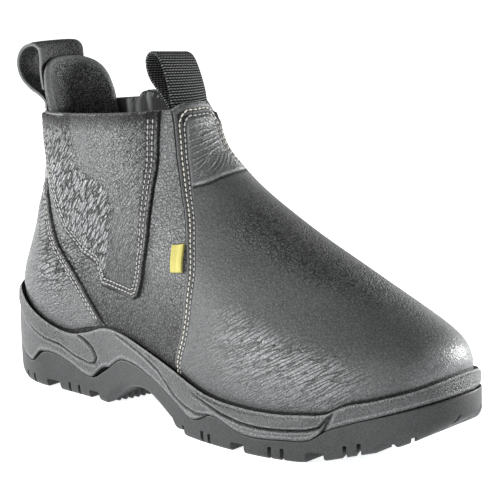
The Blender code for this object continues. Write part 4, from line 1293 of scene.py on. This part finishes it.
cut = rounded(from_seam - SKIRT, VAMP_EDGE_ROUND) * rounded(from_top, VAMP_EDGE_ROUND)
vamp_lift = VAMP_SEAT + full * cut + vamp_relief * ease((from_seam - SKIRT) / SKIRT_FADE)
vamp_outer = beside_upper(vamp_t, vamp_phi, vamp_lift)
vamp_inner = beside_upper(vamp_t, vamp_phi, np.full(vamp_t.shape, VAMP_INNER))
for face in (vamp_outer, vamp_inner):
    face[..., 2] += collar_rise(face, from_top)
print("soft patch over", round(100 * float(patch.mean()), 1), "% of the vamp's grid")

# %% Finish of the vamp
# Painted highlight: a little in the band below the sheen line, strongly over the flex zone within it, and on
# the toe tip.
above_sheen = vamp_z - line_height(SHEEN_LINE, vamp_x)
sheen = ease((3 - above_sheen) / 9) * (1 - ease((vamp_x - 268) / 32))
flex = bell(line_distance(vamp_x, vamp_z, FLEX_LINE)[0], FLEX_WIDTH) * sheen
toe_tip = ease((vamp_x - 290) / 9)
crest = ease((above_sheen - 16) / 8) * ease((vamp_x - 165) / 30)
# Painted shade: darker above the sheen line outside the soft patch, and in the sheen band away from the flex
# zone; none on the toe tip.
painted_dimming = (0.24 * (1 - sheen) * (1 - patch) + 0.28 * sheen * (1 - flex)) * (1 - toe_tip)
# Painted highlight on the soft patch's ridges and along its top line; painted shade in its troughs and just
# below that line.
ridges = patch * np.clip(6.0 * creased - 0.8, 0, 1)
troughs = patch * np.clip(-8.0 * creased, 0, 0.75)
patch_line = bell(above_patch_line - 0.4, 0.4) * (from_seam > PATCH_BAND)
patch_gap = bell(above_patch_line + 0.6, 0.5) * (from_seam > PATCH_BAND)
# Painted shade also at the cut edge, in the stitch furrows and beside the sole's lip.
sewn = sewn_rows(from_edge, STITCH_INSETS, FURROW_DARK)
shade = edge_shade(from_seam) + 0.9 * sewn + 0.8 * patch_gap + 0.55 * beside_lip(vamp_base)
painted_highlight = 0.10 * patch + 0.10 * sheen + 0.56 * flex + ridges + patch_line + 0.25 * toe_tip
vamp_marks = {
    "pebble": 0.20 + 0.20 * flex + 0.36 * crest,
    "drawn": 0.10 * patch + 0.36 * flex + 0.04 * sheen,
    "shade": np.clip(shade + troughs + painted_dimming, 0, 1),
    "painted_highlight": np.clip(painted_highlight, 0, 1)}
vamp_flat = turned(from_seam, 1.2 * vamp_z, FLEX_ANGLE) * FLEX_GRAIN
sheet("vamp", vamp_inner, vamp_outer, leather, "black_leather", None, vamp_marks, vamp_flat)

# %% [markdown]
# ## Gore covers
# A leather flap covers the elastic on each side. It is a plain sheet, with a straight front edge, a short
# foot with a notch behind it and a long slanting rear edge. In the side view its rows run from the rear
# edge to the front edge, so the grid follows the cut outline and the edges stay clean.

# %% Gore covers
FLAP_REAR = [
    (92, 65), (88.5, 72), (87, 77), (75, 80.6), (61, 91), (55, 100.6), (49, 112.4), (42.7, 128.5), (37.5, 141),
    (34, 153.5)]
FLAP_FRONT = [
    (121.5, 63.0), (126.6, 65.5), (130.6, 73), (133.2, 80), (136.2, 92), (136.2, 101), (134.4, 110),
    (131.8, 124), (130.2, 146), (129.2, 162.4)]
WRINKLED_TO = [
    (78, 100), (90, 104), (102, 108), (113, 107.5), (120.5, 102.5), (124.5, 94), (127.5, 82), (133, 76),
    (152, 71.7)]
FLAP_ROWS, FLAP_COLUMNS, FLAP_CROWDING = 170, 150, 0.6
FLAP_INNER, FLAP_SEAT, FLAP_THICKNESS = 0.15, 0.25, 1.7
FLAP_EDGE_ROUND, FLAP_SKIVE, FLAP_WRINKLE_ANGLE = 0.9, 1.7, 54
flap_outline = np.array(FLAP_REAR[::-1] + FLAP_FRONT)
FLAP_CREASES = [
    Crease((72.7, 155), (57, 132), 1.0, 1.3, 0.22), Crease((66, 150), (52, 128), 1.0, 1.3, 0.24),
    Crease((58, 148), (46, 130), 1.0, 1.3, 0.24), Crease((82, 122), (64, 100), 1.0, 1.3, 0.24),
    Crease((74, 128), (56, 108), 1.0, 1.3, 0.24), Crease((90, 116), (76, 98), 0.8, 1.3, 0.20),
    Crease((98, 121), (85, 101), 0.8, 1.3, 0.16), Crease((66, 122), (54, 106), 0.8, 1.3, 0.22),
    Crease((118, 152), (113, 138), 0.5, 1.5, 0.12), Crease((123, 140), (121, 122), 0.5, 1.5, 0.12),
    Crease((106, 150), (99, 132), 0.8, 1.7, 0.12),
]


def make_gore_cover(label, side):
    """Flap on one side: rows between the rear and front edges, lifted by the leather's thickness with a round
    edge, furrowed where it is sewn and rolled over at the collar."""
    rear, front = np.array(FLAP_REAR), np.array(FLAP_FRONT)
    v = np.linspace(0, 1, FLAP_ROWS)[:, None]
    u = crowded(FLAP_COLUMNS, FLAP_CROWDING)
    rear_z = rear[0, 1] + v * (rear[-1, 1] - rear[0, 1])
    front_z = front[0, 1] + v * (front[-1, 1] - front[0, 1])
    rear_x = np.interp(rear_z, rear[:, 1], rear[:, 0])
    front_x = np.interp(front_z, front[:, 1], front[:, 0])
    x, z = rear_x + u * (front_x - rear_x), rear_z + u * (front_z - rear_z)
    t, phi = on_side(x, z, side)
    base = upper_point(t, phi)
    d, _ = line_distance(x, z, flap_outline)
    from_top = run_along(base[::-1], 0)[::-1]
    furrow = sewn_rows(d, STITCH_INSETS, FURROW_WIDTH)
    relief = crease_relief(base, FLAP_CREASES, side) - FURROW_DEPTH * furrow
    skived = 1 - ease((u - 0.3) / 0.3)
    cut = rounded(d - SKIRT, FLAP_EDGE_ROUND + FLAP_SKIVE * skived) * (0.3 + 0.7 * rounded(from_top, 1.8))
    lift = FLAP_SEAT + FLAP_THICKNESS * cut + relief * ease((d - SKIRT) / SKIRT_FADE) * ease(from_top / 3)
    outer = beside_upper(t, phi, lift)
    inner = beside_upper(t, phi, np.full(t.shape, FLAP_INNER))
    rise = (0.3 + 1.1 * ease((x - 63) / 6)) * (1 - ease(from_top / 10)) + collar_rise(base, from_top)
    outer[..., 2] += rise
    inner[..., 2] += rise
    rear_zone = 1 - ease((x - np.interp(z, *np.transpose(WRINKLED_TO)) + 4) / 6)
    # Painted shade: the cut edges and their gaps, a wider band as the rear edge's shadow, the stitch furrows,
    # low on the smooth part and high on the wrinkled part; the same mark darkens a band under the collar's top
    # edge.
    shade = edge_shade(d) + 0.9 * skived * (1 - ease((d - 1.8) / 0.6))
    shade += 0.95 * sewn_rows(d, STITCH_INSETS, FURROW_DARK)
    shade += 0.75 * (1 - ease(from_top / 10)) * ease(from_top / 1.2)
    shade += 0.3 * (1 - rear_zone) * (1 - ease((z - 75) / 35)) + 0.25 * rear_zone * ease((z - 125) / 20)
    # Painted highlights: glints over the wrinkled rear part, a band between the stitch rows and a bright line
    # along the collar's top edge, with a faint one everywhere.
    painted_highlight = 0.05 + 0.65 * rear_zone + 0.4 * bell(d - np.mean(STITCH_INSETS), 0.5) + bell(from_top, 0.7)
    marks = {
        "pebble": 0.62 + 0 * x,
        "drawn": 0.10 + 0.16 * ease((x - 98) / 12) + 0.80 * rear_zone,
        "shade": np.clip(shade, 0, 1),
        "painted_highlight": np.clip(painted_highlight, 0, 1)}
    return sheet(
        f"gore_cover_{label}_leather", inner, outer, leather, "black_leather", f"gore_cover_{label}", marks,
        turned(x, z, FLAP_WRINKLE_ANGLE) * WRINKLE_GRAIN)


for label, side in (("lateral", LATERAL), ("medial", MEDIAL)):
    make_gore_cover(label, side)

# %% [markdown]
# ## Heel counter
# The counter is a stiff cup of leather round the heel. Its front edges slant up and back from the sole, and
# its top dips a little at the back. It is worked out as rows from the sole to the top and columns from one
# front edge round the heel to the other.

# %% Heel counter
COUNTER_EDGE = [(43, 95), (52, 86), (61, 77), (70, 68), (79, 59), (87, 53.6), (97, 50), (108, 46.4), (118, 42)]
COUNTER_BACK = 104.0
COUNTER_ROWS, COUNTER_COLUMNS = 110, 210
COUNTER_SEAT, COUNTER_THICKNESS, COUNTER_EDGE_ROUND = 0.2, 1.4, 0.9
COUNTER_INNER, COUNTER_TUCK, COUNTER_INSETS = 0.1, 1.5, (3.1, 5.3)

r = np.linspace(0, 1, COUNTER_ROWS)[:, None]
s = np.linspace(-1, 1, COUNTER_COLUMNS)[None, :]
heights, places = np.array(COUNTER_EDGE, float).T
edge_z = heights[0] + (heights[-1] - heights[0]) * r
edge_x = curve(heights, places, edge_z)
edge_phi = on_side(edge_x, edge_z, LATERAL)[1]
phi = s * edge_phi
level_z = np.broadcast_to(edge_z, phi.shape)
around = upper_point(climb(lambda share: upper_point(share, phi)[..., 2], level_z), phi)
foot = level(TOP_EDGE, around[..., 0]) - COUNTER_TUCK
crown = COUNTER_BACK + (heights[-1] - COUNTER_BACK) * s**2
hold = np.abs(s) ** 4
z = (foot + (crown - foot) * r) * (1 - hold) + np.maximum(edge_z, foot) * hold
t = climb(lambda share: upper_point(share, phi)[..., 2], z)
counter_base = upper_point(t, phi)
run = run_along(counter_base, 1)
from_edge = np.minimum(run, run[:, -1:] - run)
from_crown = run_along(counter_base[::-1], 0)[::-1]
furrow = sewn_rows(from_edge, COUNTER_INSETS, FURROW_WIDTH) * ease((from_edge - SKIRT) / SKIRT_FADE)
cut = rounded(from_edge - SKIRT, COUNTER_EDGE_ROUND) * ease(from_crown / 12)
lift = COUNTER_SEAT + COUNTER_THICKNESS * above_sole(counter_base) * cut - FURROW_DEPTH * furrow
counter_t, counter_phi = t, phi
inner = beside_upper(t, phi, np.full(t.shape, COUNTER_INNER))
counter_x, counter_z = counter_base[..., 0], counter_base[..., 2]
# A spot of painted highlight on the counter's side, where the pebble and wrinkles are also stronger.
gloss_highlight = bell(np.hypot((counter_x - 52) / 12, (counter_z - 65) / 10), 1.0)
sewn = sewn_rows(from_edge, COUNTER_INSETS, FURROW_DARK)
# Painted shade at the cut edges, in the stitch furrows and beside the sole's lip; painted highlight between the
# stitch rows.
counter_marks = {
    "pebble": 0.4 + 0.4 * gloss_highlight,
    "drawn": 0.1 + 0.7 * bell(from_edge - 10, 7) * ease((counter_z - 60) / 15) + 0.5 * gloss_highlight,
    "shade": np.clip(edge_shade(from_edge) + 0.95 * sewn + 0.6 * beside_lip(counter_base), 0, 1),
    "painted_highlight": 0.8 * gloss_highlight + 0.4 * bell(from_edge - np.mean(COUNTER_INSETS), 0.5)}
sheet(
    "heel_counter_leather", inner, beside_upper(t, phi, lift), leather, "black_leather", "heel_counter",
    counter_marks, turned(counter_x, counter_z, SHELL_WRINKLE_ANGLE) * WRINKLE_GRAIN)

# %% [markdown]
# ## Stitching
# The seams are sewn in double rows of thick pale thread. A stitch is a short capsule that dips into the
# leather at both ends. One stitch is worked out once, and a row of them is a single array operation that
# carries it to every place along the seam, turned to the seam's direction and the leather's normal.

# %% One row of stitches
STITCH_PITCH, STITCH_LENGTH, STITCH_RADIUS = 2.9, 2.45, 0.42
STITCH_FLATNESS, STITCH_RISE, STITCH_DIP = 0.75, 0.12, 0.35
THREAD_SINK = 0.2
Capsule = namedtuple("Capsule", "along round")
capsule = Capsule(np.linspace(-1, 1, 7), np.linspace(0, 2 * np.pi, 6, endpoint=False))


def stitches(points, normals):
    """Capsules along a line on the leather: rings that narrow towards both ends, where a stitch dips in."""
    run = run_along(points, 0)
    count = max(int(run[-1] / STITCH_PITCH), 2)
    at = (np.arange(count) + 0.5) * run[-1] / count

    def along_run(values, where):
        return np.stack([np.interp(where, run, values[:, i]) for i in range(3)], axis=-1)

    up = along_run(normals, at)
    ahead = along_run(points, at + 0.5) - along_run(points, at - 0.5)
    ahead /= np.linalg.norm(ahead, axis=1, keepdims=True)
    axes = np.stack([ahead, np.cross(up, ahead), up], axis=1)
    a, b = np.meshgrid(capsule.along, capsule.round, indexing="ij")
    girth = STITCH_RADIUS * np.sqrt(np.clip(1 - np.abs(a) ** 3, 0.02, 1))
    height = STITCH_FLATNESS * girth * np.sin(b) + STITCH_RISE - STITCH_DIP * a**2
    local = np.stack([a * STITCH_LENGTH / 2, girth * np.cos(b), height], axis=-1)
    return along_run(points, at)[:, None] + local.reshape(-1, 3) @ axes


def even_line(line, steps):
    """Line through corner points, walked in even steps."""
    line = np.asarray(line, float)
    run = np.concatenate([[0], np.cumsum(np.linalg.norm(np.diff(line, axis=0), axis=1))])
    at = np.linspace(0, run[-1], steps)
    return np.column_stack([np.interp(at, run, line[:, i]) for i in range(2)])


def inset_line(line, inset):
    """Line moved to its left by inset, less the points that came too near the line again at inner corners."""
    run = np.gradient(line, axis=0)
    run /= np.linalg.norm(run, axis=1, keepdims=True)
    moved = line + inset * np.column_stack([-run[:, 1], run[:, 0]])
    d, _ = line_distance(moved[:, 0], moved[:, 1], line)
    return moved[d > inset - 0.08]


def on_leather(t, phi, lift):
    """Points and normals of a seam line at a lift from the last."""
    return beside_upper(t, phi, np.broadcast_to(lift, np.shape(t))), upper_normal(t, phi)


def grid_line(a, row, run, t, phi):
    """t and phi on a panel's grid at a distance a along given rows."""
    pairs = [(np.interp(d, run[i], t[i]), np.interp(d, run[i], phi[i])) for d, i in zip(a, row)]
    return np.array(pairs).T


def sew(name, rows, material):
    """All stitches of several lines as one piece of joined capsules."""
    every = np.concatenate([stitches(points, normals) for points, normals in rows])
    count, per = every.shape[:2]
    sides = len(capsule.round)
    end = np.array([[0, 1, 2, 3], [0, 3, 4, 5]])
    one = np.concatenate([quads(len(capsule.along), sides, True), end, end + per - sides])
    faces = (one[None] + (np.arange(count) * per)[:, None, None]).reshape(-1, 4)
    return show(to_mesh(name, every.reshape(-1, 3), faces), material)


def raised(t, phi, lift):
    """Seam line on the leather, carried up with the collar's rise."""
    points, normals = on_leather(t, phi, lift - THREAD_SINK)
    points[:, 2] += collar_rise(points, upper_point(np.ones_like(t), phi)[:, 2] - points[:, 2])
    return points, normals


print("stitch", STITCH_LENGTH, "mm long, every", STITCH_PITCH, "mm")

# %% Stitching of the flaps and the counter
SEAM_STEPS = 700
FLAP_SEAM_TOP, FLAP_SEAM_FRONT, FLAP_SEAM_SLOPE = 160.0, 127.5, 0.09

flap_rows = []
for side in (LATERAL, MEDIAL):
    cut_line = even_line(flap_outline, SEAM_STEPS)
    for inset in STITCH_INSETS:
        line = inset_line(cut_line, inset)
        line = line[line[:, 1] < FLAP_SEAM_TOP - (FLAP_SEAM_FRONT - line[:, 0]) * FLAP_SEAM_SLOPE]
        flap_rows.append(raised(*on_side(line[:, 0], line[:, 1], side), FLAP_SEAT + FLAP_THICKNESS))
for inset in COUNTER_INSETS:
    for step in (1, -1):
        run = run_along(counter_base[:, ::step], 1)
        row = np.arange(5, COUNTER_ROWS - 4)
        t, phi = grid_line(np.full(len(row), inset), row, run, counter_t[:, ::step], counter_phi[:, ::step])
        lift = COUNTER_SEAT + COUNTER_THICKNESS * above_sole(upper_point(t, phi)) - THREAD_SINK
        flap_rows.append(on_leather(t, phi, lift))
sew("panel_stitching", flap_rows, grey_thread)

# %% Stitching of the vamp
ARCH_CORNER, ARCH_FOOT, ARCH_STEPS, CORNER_STEPS, TOP_STEPS = 5.0, 8.0, 260, 12, 40


def half_arch(inset):
    """Half of the vamp's seam line, as distances from the side edge and below the top: up the side and round
    the top corner."""
    turn = np.linspace(0, np.pi / 2, CORNER_STEPS)
    rise = np.linspace(from_top[0, 0] - ARCH_FOOT, inset + ARCH_CORNER, ARCH_STEPS)
    from_side = np.concatenate([np.full(ARCH_STEPS, inset), inset + ARCH_CORNER * (1 - np.cos(turn))])
    below_top = np.concatenate([rise, inset + ARCH_CORNER * (1 - np.sin(turn))])
    return from_side, below_top


vamp_rows = []
for inset in STITCH_INSETS:
    parts = []
    for step in (1, -1):
        a, b = half_arch(inset)
        row = np.interp(b, from_top[::-1, 0], np.arange(VAMP_ROWS)[::-1]).round().astype(int)
        parts.append(grid_line(
            a, row, run_along(vamp_base[:, ::step], 1), vamp_t[:, ::step], vamp_phi[:, ::step]))
    near_end, far_end = parts[0][:, -1], parts[1][:, -1]
    top = near_end[:, None] + (far_end - near_end)[:, None] * np.linspace(0, 1, TOP_STEPS)[None, 1:-1]
    t, phi = np.concatenate([parts[0], top, parts[1][:, ::-1]], axis=1)
    vamp_rows.append(raised(t, phi, VAMP_SEAT + VAMP_LIFT * above_sole(upper_point(t, phi))))
sew("vamp_stitching", vamp_rows[:1], pale_thread)
sew("vamp_inner_stitching", vamp_rows[1:], grey_thread)

# %% [markdown]
# ## Elastic gores
# Inside each flap a piece of elastic webbing lets the collar stretch. Unstretched it gathers into upright
# folds, which show at the top of the collar on the far side. The folds are a sum of waves across the sheet.

# %% Elastic gores
GORE_ROWS, GORE_COLUMNS = 60, 200
GORE_REAR, GORE_LENGTH, GORE_LOW, GORE_HEIGHT, GORE_SLOPE = 52, 74, 98, 58.5, 5.5
COLLAR_LOW, COLLAR_SLOPE, COLLAR_REAR, COLLAR_LENGTH = 152.8, 11, 25.5, 112.5
GORE_OUTSIDE, GORE_INSIDE = 0.9, 2.4


def make_gore(label, side):
    """Sheet inside the wall: x between two upright edges, z up to the collar, pushed in and out by folds."""
    u = np.linspace(0, 1, GORE_COLUMNS)[None, :]
    v = np.linspace(0, 1, GORE_ROWS)[:, None]
    x = GORE_REAR + GORE_LENGTH * u + 0 * v
    z = GORE_LOW + v * (GORE_HEIGHT + GORE_SLOPE * u)
    collar = COLLAR_LOW + COLLAR_SLOPE * (x - COLLAR_REAR) / COLLAR_LENGTH
    t, phi = on_side(x, np.minimum(z, collar), side)
    fold = np.sin(x * 1.9 + 1.3 * np.sin(x * 0.55) + 2.5 * v) + 0.6 * np.sin(x * 3.1 + 1.0 - 4.0 * v)
    fold = fold * (0.3 + 0.7 * ease((v - 0.6) / 0.4))
    outer = beside_upper(t, phi, -WALL - GORE_OUTSIDE + 0.25 * fold)
    inner = beside_upper(t, phi, -WALL - GORE_INSIDE + 0.8 * fold)
    for face in (outer, inner):
        face[..., 2] = z + 0.15 * fold * ease((v - 0.8) / 0.2) + collar_rise(face, 60 * (1 - v))
    flat = np.stack(np.broadcast_arrays(x, z), axis=-1)
    # Painted highlight on the ridges of the folds, carried in the edge mark.
    ridge = ease((-fold - 0.2) / 0.5) + 0 * z
    return sheet(
        f"elastic_gore_{label}_folds", inner, outer, elastic, "black_elastic", f"elastic_gore_{label}",
        {"edge": ridge}, flat)


for label, side in (("lateral", LATERAL), ("medial", MEDIAL)):
    make_gore(label, side)

# %% [markdown]
# ## Heel tab
# A soft lobe of suede stands up inside the back of the collar, to keep the pull loop off the ankle. It is
# foam between two skins, so it swells in the middle and closes to a bound edge.

# %% Heel tab
TAB_LATERAL, TAB_MEDIAL = 0.86, 0.90
TAB_LOW, TAB_SHOULDER, TAB_TOP = 128.0, 152.0, 181.6
TAB_ROUND_LATERAL, TAB_ROUND_MEDIAL, TAB_LEAN = 2.3, 3.3, 3.0
TAB_ROWS, TAB_COLUMNS, TAB_REACH = 90, 110, 0.995
TAB_BEHIND, TAB_RIM, TAB_SWELL, TAB_SWELL_ROUND = 2.0, 0.7, 1.5, 5.0

s = TAB_REACH * np.sin(np.linspace(-1, 1, TAB_COLUMNS) * np.pi / 2)[None, :]
r = np.linspace(0, 1, TAB_ROWS)[:, None]
phi = np.where(s > 0, TAB_LATERAL, TAB_MEDIAL) * s + 0 * r
tab_round = np.where(s > 0, TAB_ROUND_LATERAL, TAB_ROUND_MEDIAL)
crown = TAB_SHOULDER + (TAB_TOP - TAB_SHOULDER) * (1 - np.abs(s) ** tab_round) ** (1 / tab_round)
z = TAB_LOW + (crown - TAB_LOW) * r
t = climb(lambda share: upper_point(share, phi)[..., 2], z)
middle = beside_upper(t, phi, np.full(t.shape, -WALL - GAP - TAB_BEHIND))
middle[..., 2] = z
middle[..., 0] -= TAB_LEAN * ease((z - 150) / 18)
from_side = np.minimum(run_along(middle, 1), run_along(middle[:, ::-1], 1)[:, ::-1])
from_top = run_along(middle[::-1], 0)[::-1]
rim_d = np.minimum(from_side, from_top)
swell = (TAB_RIM + TAB_SWELL * rounded(rim_d, TAB_SWELL_ROUND))[..., None] * upper_normal(t, phi)
tab_edge = 1 - ease((rim_d - 0.4 - 1.8 * ease((s - 0.3) / 0.4)) / 0.7)
tab = sheet(
    "heel_tab_suede", middle - swell, middle + swell, suede, "black_suede", "heel_tab", {"edge": tab_edge})

# %% [markdown]
# ## Pull loops
# Both loops are flat straps sewn down at their ends: leather behind the heel tab, woven tape inside the
# front. A strap is a flat profile carried along its line in the side view, and its flat map runs along and
# across it, so that ribs and wrinkles turn with the bend.

# %% Pull loops
LoopPoint = namedtuple("LoopPoint", "x z bend")
HEEL_LOOP = [
    LoopPoint(26.4, 154.6, 1.0), LoopPoint(26.2, 158.5, 1.0), LoopPoint(23.0, 162.0, 0.8),
    LoopPoint(17.0, 165.6, 0.4), LoopPoint(12.0, 170.8, 0.1), LoopPoint(10.0, 177.5, 0.0),
    LoopPoint(11.0, 184.0, 0.1), LoopPoint(14.8, 188.6, 0.3), LoopPoint(20.0, 190.6, 0.6),
    LoopPoint(23.4, 188.6, 0.9), LoopPoint(24.0, 183.5, 1.0), LoopPoint(23.8, 174.0, 1.0),
    LoopPoint(25.0, 165.5, 1.0),
]
FRONT_LOOP = [
    LoopPoint(138.4, 149.0, 1.0), LoopPoint(136.6, 156.0, 1.0), LoopPoint(133.8, 163.5, 1.0),
    LoopPoint(131.6, 172.0, 0.7), LoopPoint(127.6, 182.0, 0.4), LoopPoint(123.4, 189.4, 0.2),
    LoopPoint(119.4, 192.0, 0.1), LoopPoint(115.4, 191.4, 0.1), LoopPoint(112.8, 187.0, 0.1),
    LoopPoint(115.4, 179.0, 0.3), LoopPoint(123.4, 171.4, 0.6), LoopPoint(130.4, 164.6, 0.9),
    LoopPoint(133.8, 157.0, 1.0), LoopPoint(135.8, 150.0, 1.0),
]
STRAP_STEPS, STRAP_COLUMNS = 150, 40
STRAP_DROP = 1.3
Strap = namedtuple("Strap", "width thickness bend tilt")


def make_strap(name, table, strap, material, slot, node):
    """Strap: points either side of a side-view line by half the thickness, bent across by the square of y and
    let down by its tilt towards the top."""
    width, thickness, bend, tilt = strap
    places = np.arange(len(table), dtype=float)
    fine = np.linspace(0, places[-1], STRAP_STEPS)
    x, z, take = (curve(places, column, fine) for column in zip(*table))
    run = np.column_stack([np.gradient(x), np.gradient(z)])
    run /= np.linalg.norm(run, axis=1, keepdims=True)
    y = width / 2 * np.sin(np.linspace(-1, 1, STRAP_COLUMNS) * np.pi / 2)
    sag = take[:, None] * (y**2 / (2 * bend))[None, :]
    half = thickness / 2 * rounded(width / 2 - np.abs(y) + 0.25, thickness / 2)[None, :]
    drop = (tilt * y + STRAP_DROP) * ease((z[:, None] - z.min()) / np.ptp(z))
    faces = []
    for sign in (-1, 1):
        face_x = x[:, None] + sign * half * run[:, 1:] + sag
        face_z = z[:, None] - sign * half * run[:, :1] - drop
        faces.append(np.stack(np.broadcast_arrays(face_x, y, face_z), axis=-1))
    length = run_along(np.column_stack([x, z]), 0)[:, None]
    flat = np.stack(np.broadcast_arrays(length, y), axis=-1)
    rim = bell(width / 2 - np.abs(y), 0.8)[None, :] + 0 * length
    return sheet(name, *faces, material, slot, node, {"edge": rim}, flat)


HEEL_STRAP, FRONT_TAPE = Strap(32.0, 2.2, 23.0, 0.06), Strap(26.0, 1.8, -28.0, 0.14)
make_strap("heel_loop_strap", HEEL_LOOP, HEEL_STRAP, strap_leather, "strap_leather", "heel_pull_loop")
make_strap("front_loop_tape", FRONT_LOOP, FRONT_TAPE, webbing, "black_webbing", "front_pull_loop")

# %% [markdown]
# ## Tag and footbed
# A small yellow cloth tag is caught in the outer seam; it stays plain. The footbed inside is a
# cloth-covered pad that dishes a little at the heel.

# %% Tag
TAG_ROWS, TAG_COLUMNS = 36, 24
TAG_LOW, TAG_HEIGHT, TAG_SLOPE, TAG_THICKNESS = 84.2, 13.4, 0.9, 0.65
TAG_LOW_EDGE, TAG_TOP_EDGE = (156.0, 8.2), (152.4, 7.6)
TAG_SPAN, TAG_ROUND = (8.3, 13.5), 0.4
TAG_SEAT, TAG_CROWN, TAG_CURL, TAG_WAVE = 0.75, 0.75, 0.9, 0.2

u = np.linspace(0, 1, TAG_COLUMNS)[None, :]
v = np.linspace(0, 1, TAG_ROWS)[:, None]
low_x, top_x = (start + length * u for start, length in (TAG_LOW_EDGE, TAG_TOP_EDGE))
x = low_x * (1 - v) + top_x * v
z = TAG_LOW + TAG_HEIGHT * v + TAG_SLOPE * u
t, phi = on_side(x, z, LATERAL)
from_rim = np.minimum(np.minimum(u, 1 - u) * TAG_SPAN[0], np.minimum(v, 1 - v) * TAG_SPAN[1])
tag_lift = TAG_SEAT + TAG_CROWN * rounded(from_rim, TAG_ROUND)
tag_lift = tag_lift + TAG_CURL * ease((u - 0.45) / 0.4) + TAG_WAVE * np.sin(5 * v)
tag_faces = (beside_upper(t, phi, lift) for lift in (tag_lift - TAG_THICKNESS, tag_lift))
sheet("side_tag_cloth", *tag_faces, tag_cloth, "yellow_cloth", "side_tag")

# %% Footbed
BED_COLUMNS, BED_HEIGHT, BED_GAP = 200, 0.05, 0.6
BED_RINGS = [(0.0, -1.4), (0.0, 0.0), (0.03, 0.35), (0.2, -0.2), (0.5, -0.8), (0.8, -1.1)]

bed_t = np.full(BED_COLUMNS, BED_HEIGHT)
bed_rim = beside_upper(bed_t, even_angles(BED_COLUMNS), np.full(BED_COLUMNS, -WALL - BED_GAP))
middle = np.column_stack([bed_rim[:, 0], lean(bed_rim[:, 0]), bed_rim[:, 2]])
rings = [bed_rim + inwards * (middle - bed_rim) + [0, 0, dip] for inwards, dip in BED_RINGS]
show(to_mesh("footbed", *capped(np.stack(rings))), footbed, "insole")

# %% [markdown]
# ## Light and floor
# The boot stands on a plain white floor that glows a little, less near the boot, in an even, dim white
# surround; the glow is painted light that lights the boot from below. Two lamps on the left rake the pebbles,
# a broad one in front opens the shadows of the toe, a small strong one on the right puts the glint on the toe
# cap, and a broad one behind draws the top line.

# %% Surround and lamps
SURROUND = 0.16
Lamp = namedtuple("Lamp", "name spot target size power")
LAMPS = [
    Lamp("key", (-250, -1000, 500), (150, 0, 70), 300, 12),
    Lamp("left", (-800, -350, 330), (50, 0, 120), 250, 8),
    Lamp("front", (720, -950, 190), (230, 0, 60), 500, 5.0),
    Lamp("right", (700, 900, 250), (250, 0, 55), 220, 18),
    Lamp("rim", (50, 1050, 330), (200, 0, 90), 500, 3),
]

world = bpy.data.worlds.new("surround")
bpy.context.scene.world = world
world.use_nodes = True
surround = world.node_tree.nodes["Background"]
surround.inputs["Color"].default_value = (1.0, 1.0, 1.0, 1.0)
surround.inputs["Strength"].default_value = SURROUND
bpy.context.scene.view_settings.view_transform = "Standard"


def soft_light(lamp):
    """Square area light at a spot, facing a target, both in millimetres."""
    data = bpy.data.lights.new(lamp.name, "AREA")
    data.size = lamp.size * MM
    data.energy = lamp.power
    light = bpy.data.objects.new(lamp.name, data)
    spot, target = place(lamp.spot), place(lamp.target)
    away = (spot - target) / np.linalg.norm(spot - target)
    aside = np.cross([0.0, 0.0, 1.0], away)
    aside /= np.linalg.norm(aside)
    turn = Matrix(np.column_stack([aside, np.cross(away, aside), away]).tolist())
    light.matrix_world = Matrix.Translation(spot.tolist()) @ turn.to_4x4()
    bpy.context.scene.collection.objects.link(light)


for lamp in LAMPS:
    soft_light(lamp)
print("lamps", [lamp.name for lamp in LAMPS])

# %% Floor
FLOOR_HALF = 6

floor_mesh = bpy.data.meshes.new("floor")
floor_corners = [(FLOOR_HALF * x, FLOOR_HALF * y, 0) for x, y in ((-1, -1), (1, -1), (1, 1), (-1, 1))]
floor_mesh.from_pydata(floor_corners, [], [(0, 1, 2, 3)])
floor_white, spot, shader = begin("floor_white")
# The floor's glow is painted light that also lights the boot from below; it is a little weaker within about 0.3
# m of the boot's middle, a painted darkening round the boot.
distance = (spot.along(0) ** 2.0 + spot.along(1) ** 2.0) ** 0.5
glow = distance.step(0.3, 0.9).tint(grey(0.82), grey(0.95))
floor_white.node_tree.links.new(glow.socket, shader.inputs["Emission Color"])
shader.inputs["Emission Strength"].default_value = 1.0
dress(floor_white, shader, spot.noise(40.0).tint(grey(0.90), grey(0.93)), 0.9, spot.noise(3.0) * 0.02)
floor_mesh.materials.append(floor_white)
floor_piece = bpy.data.objects.new("floor", floor_mesh)
bpy.context.scene.collection.objects.link(floor_piece)
print("floor", 2 * FLOOR_HALF, "m wide")
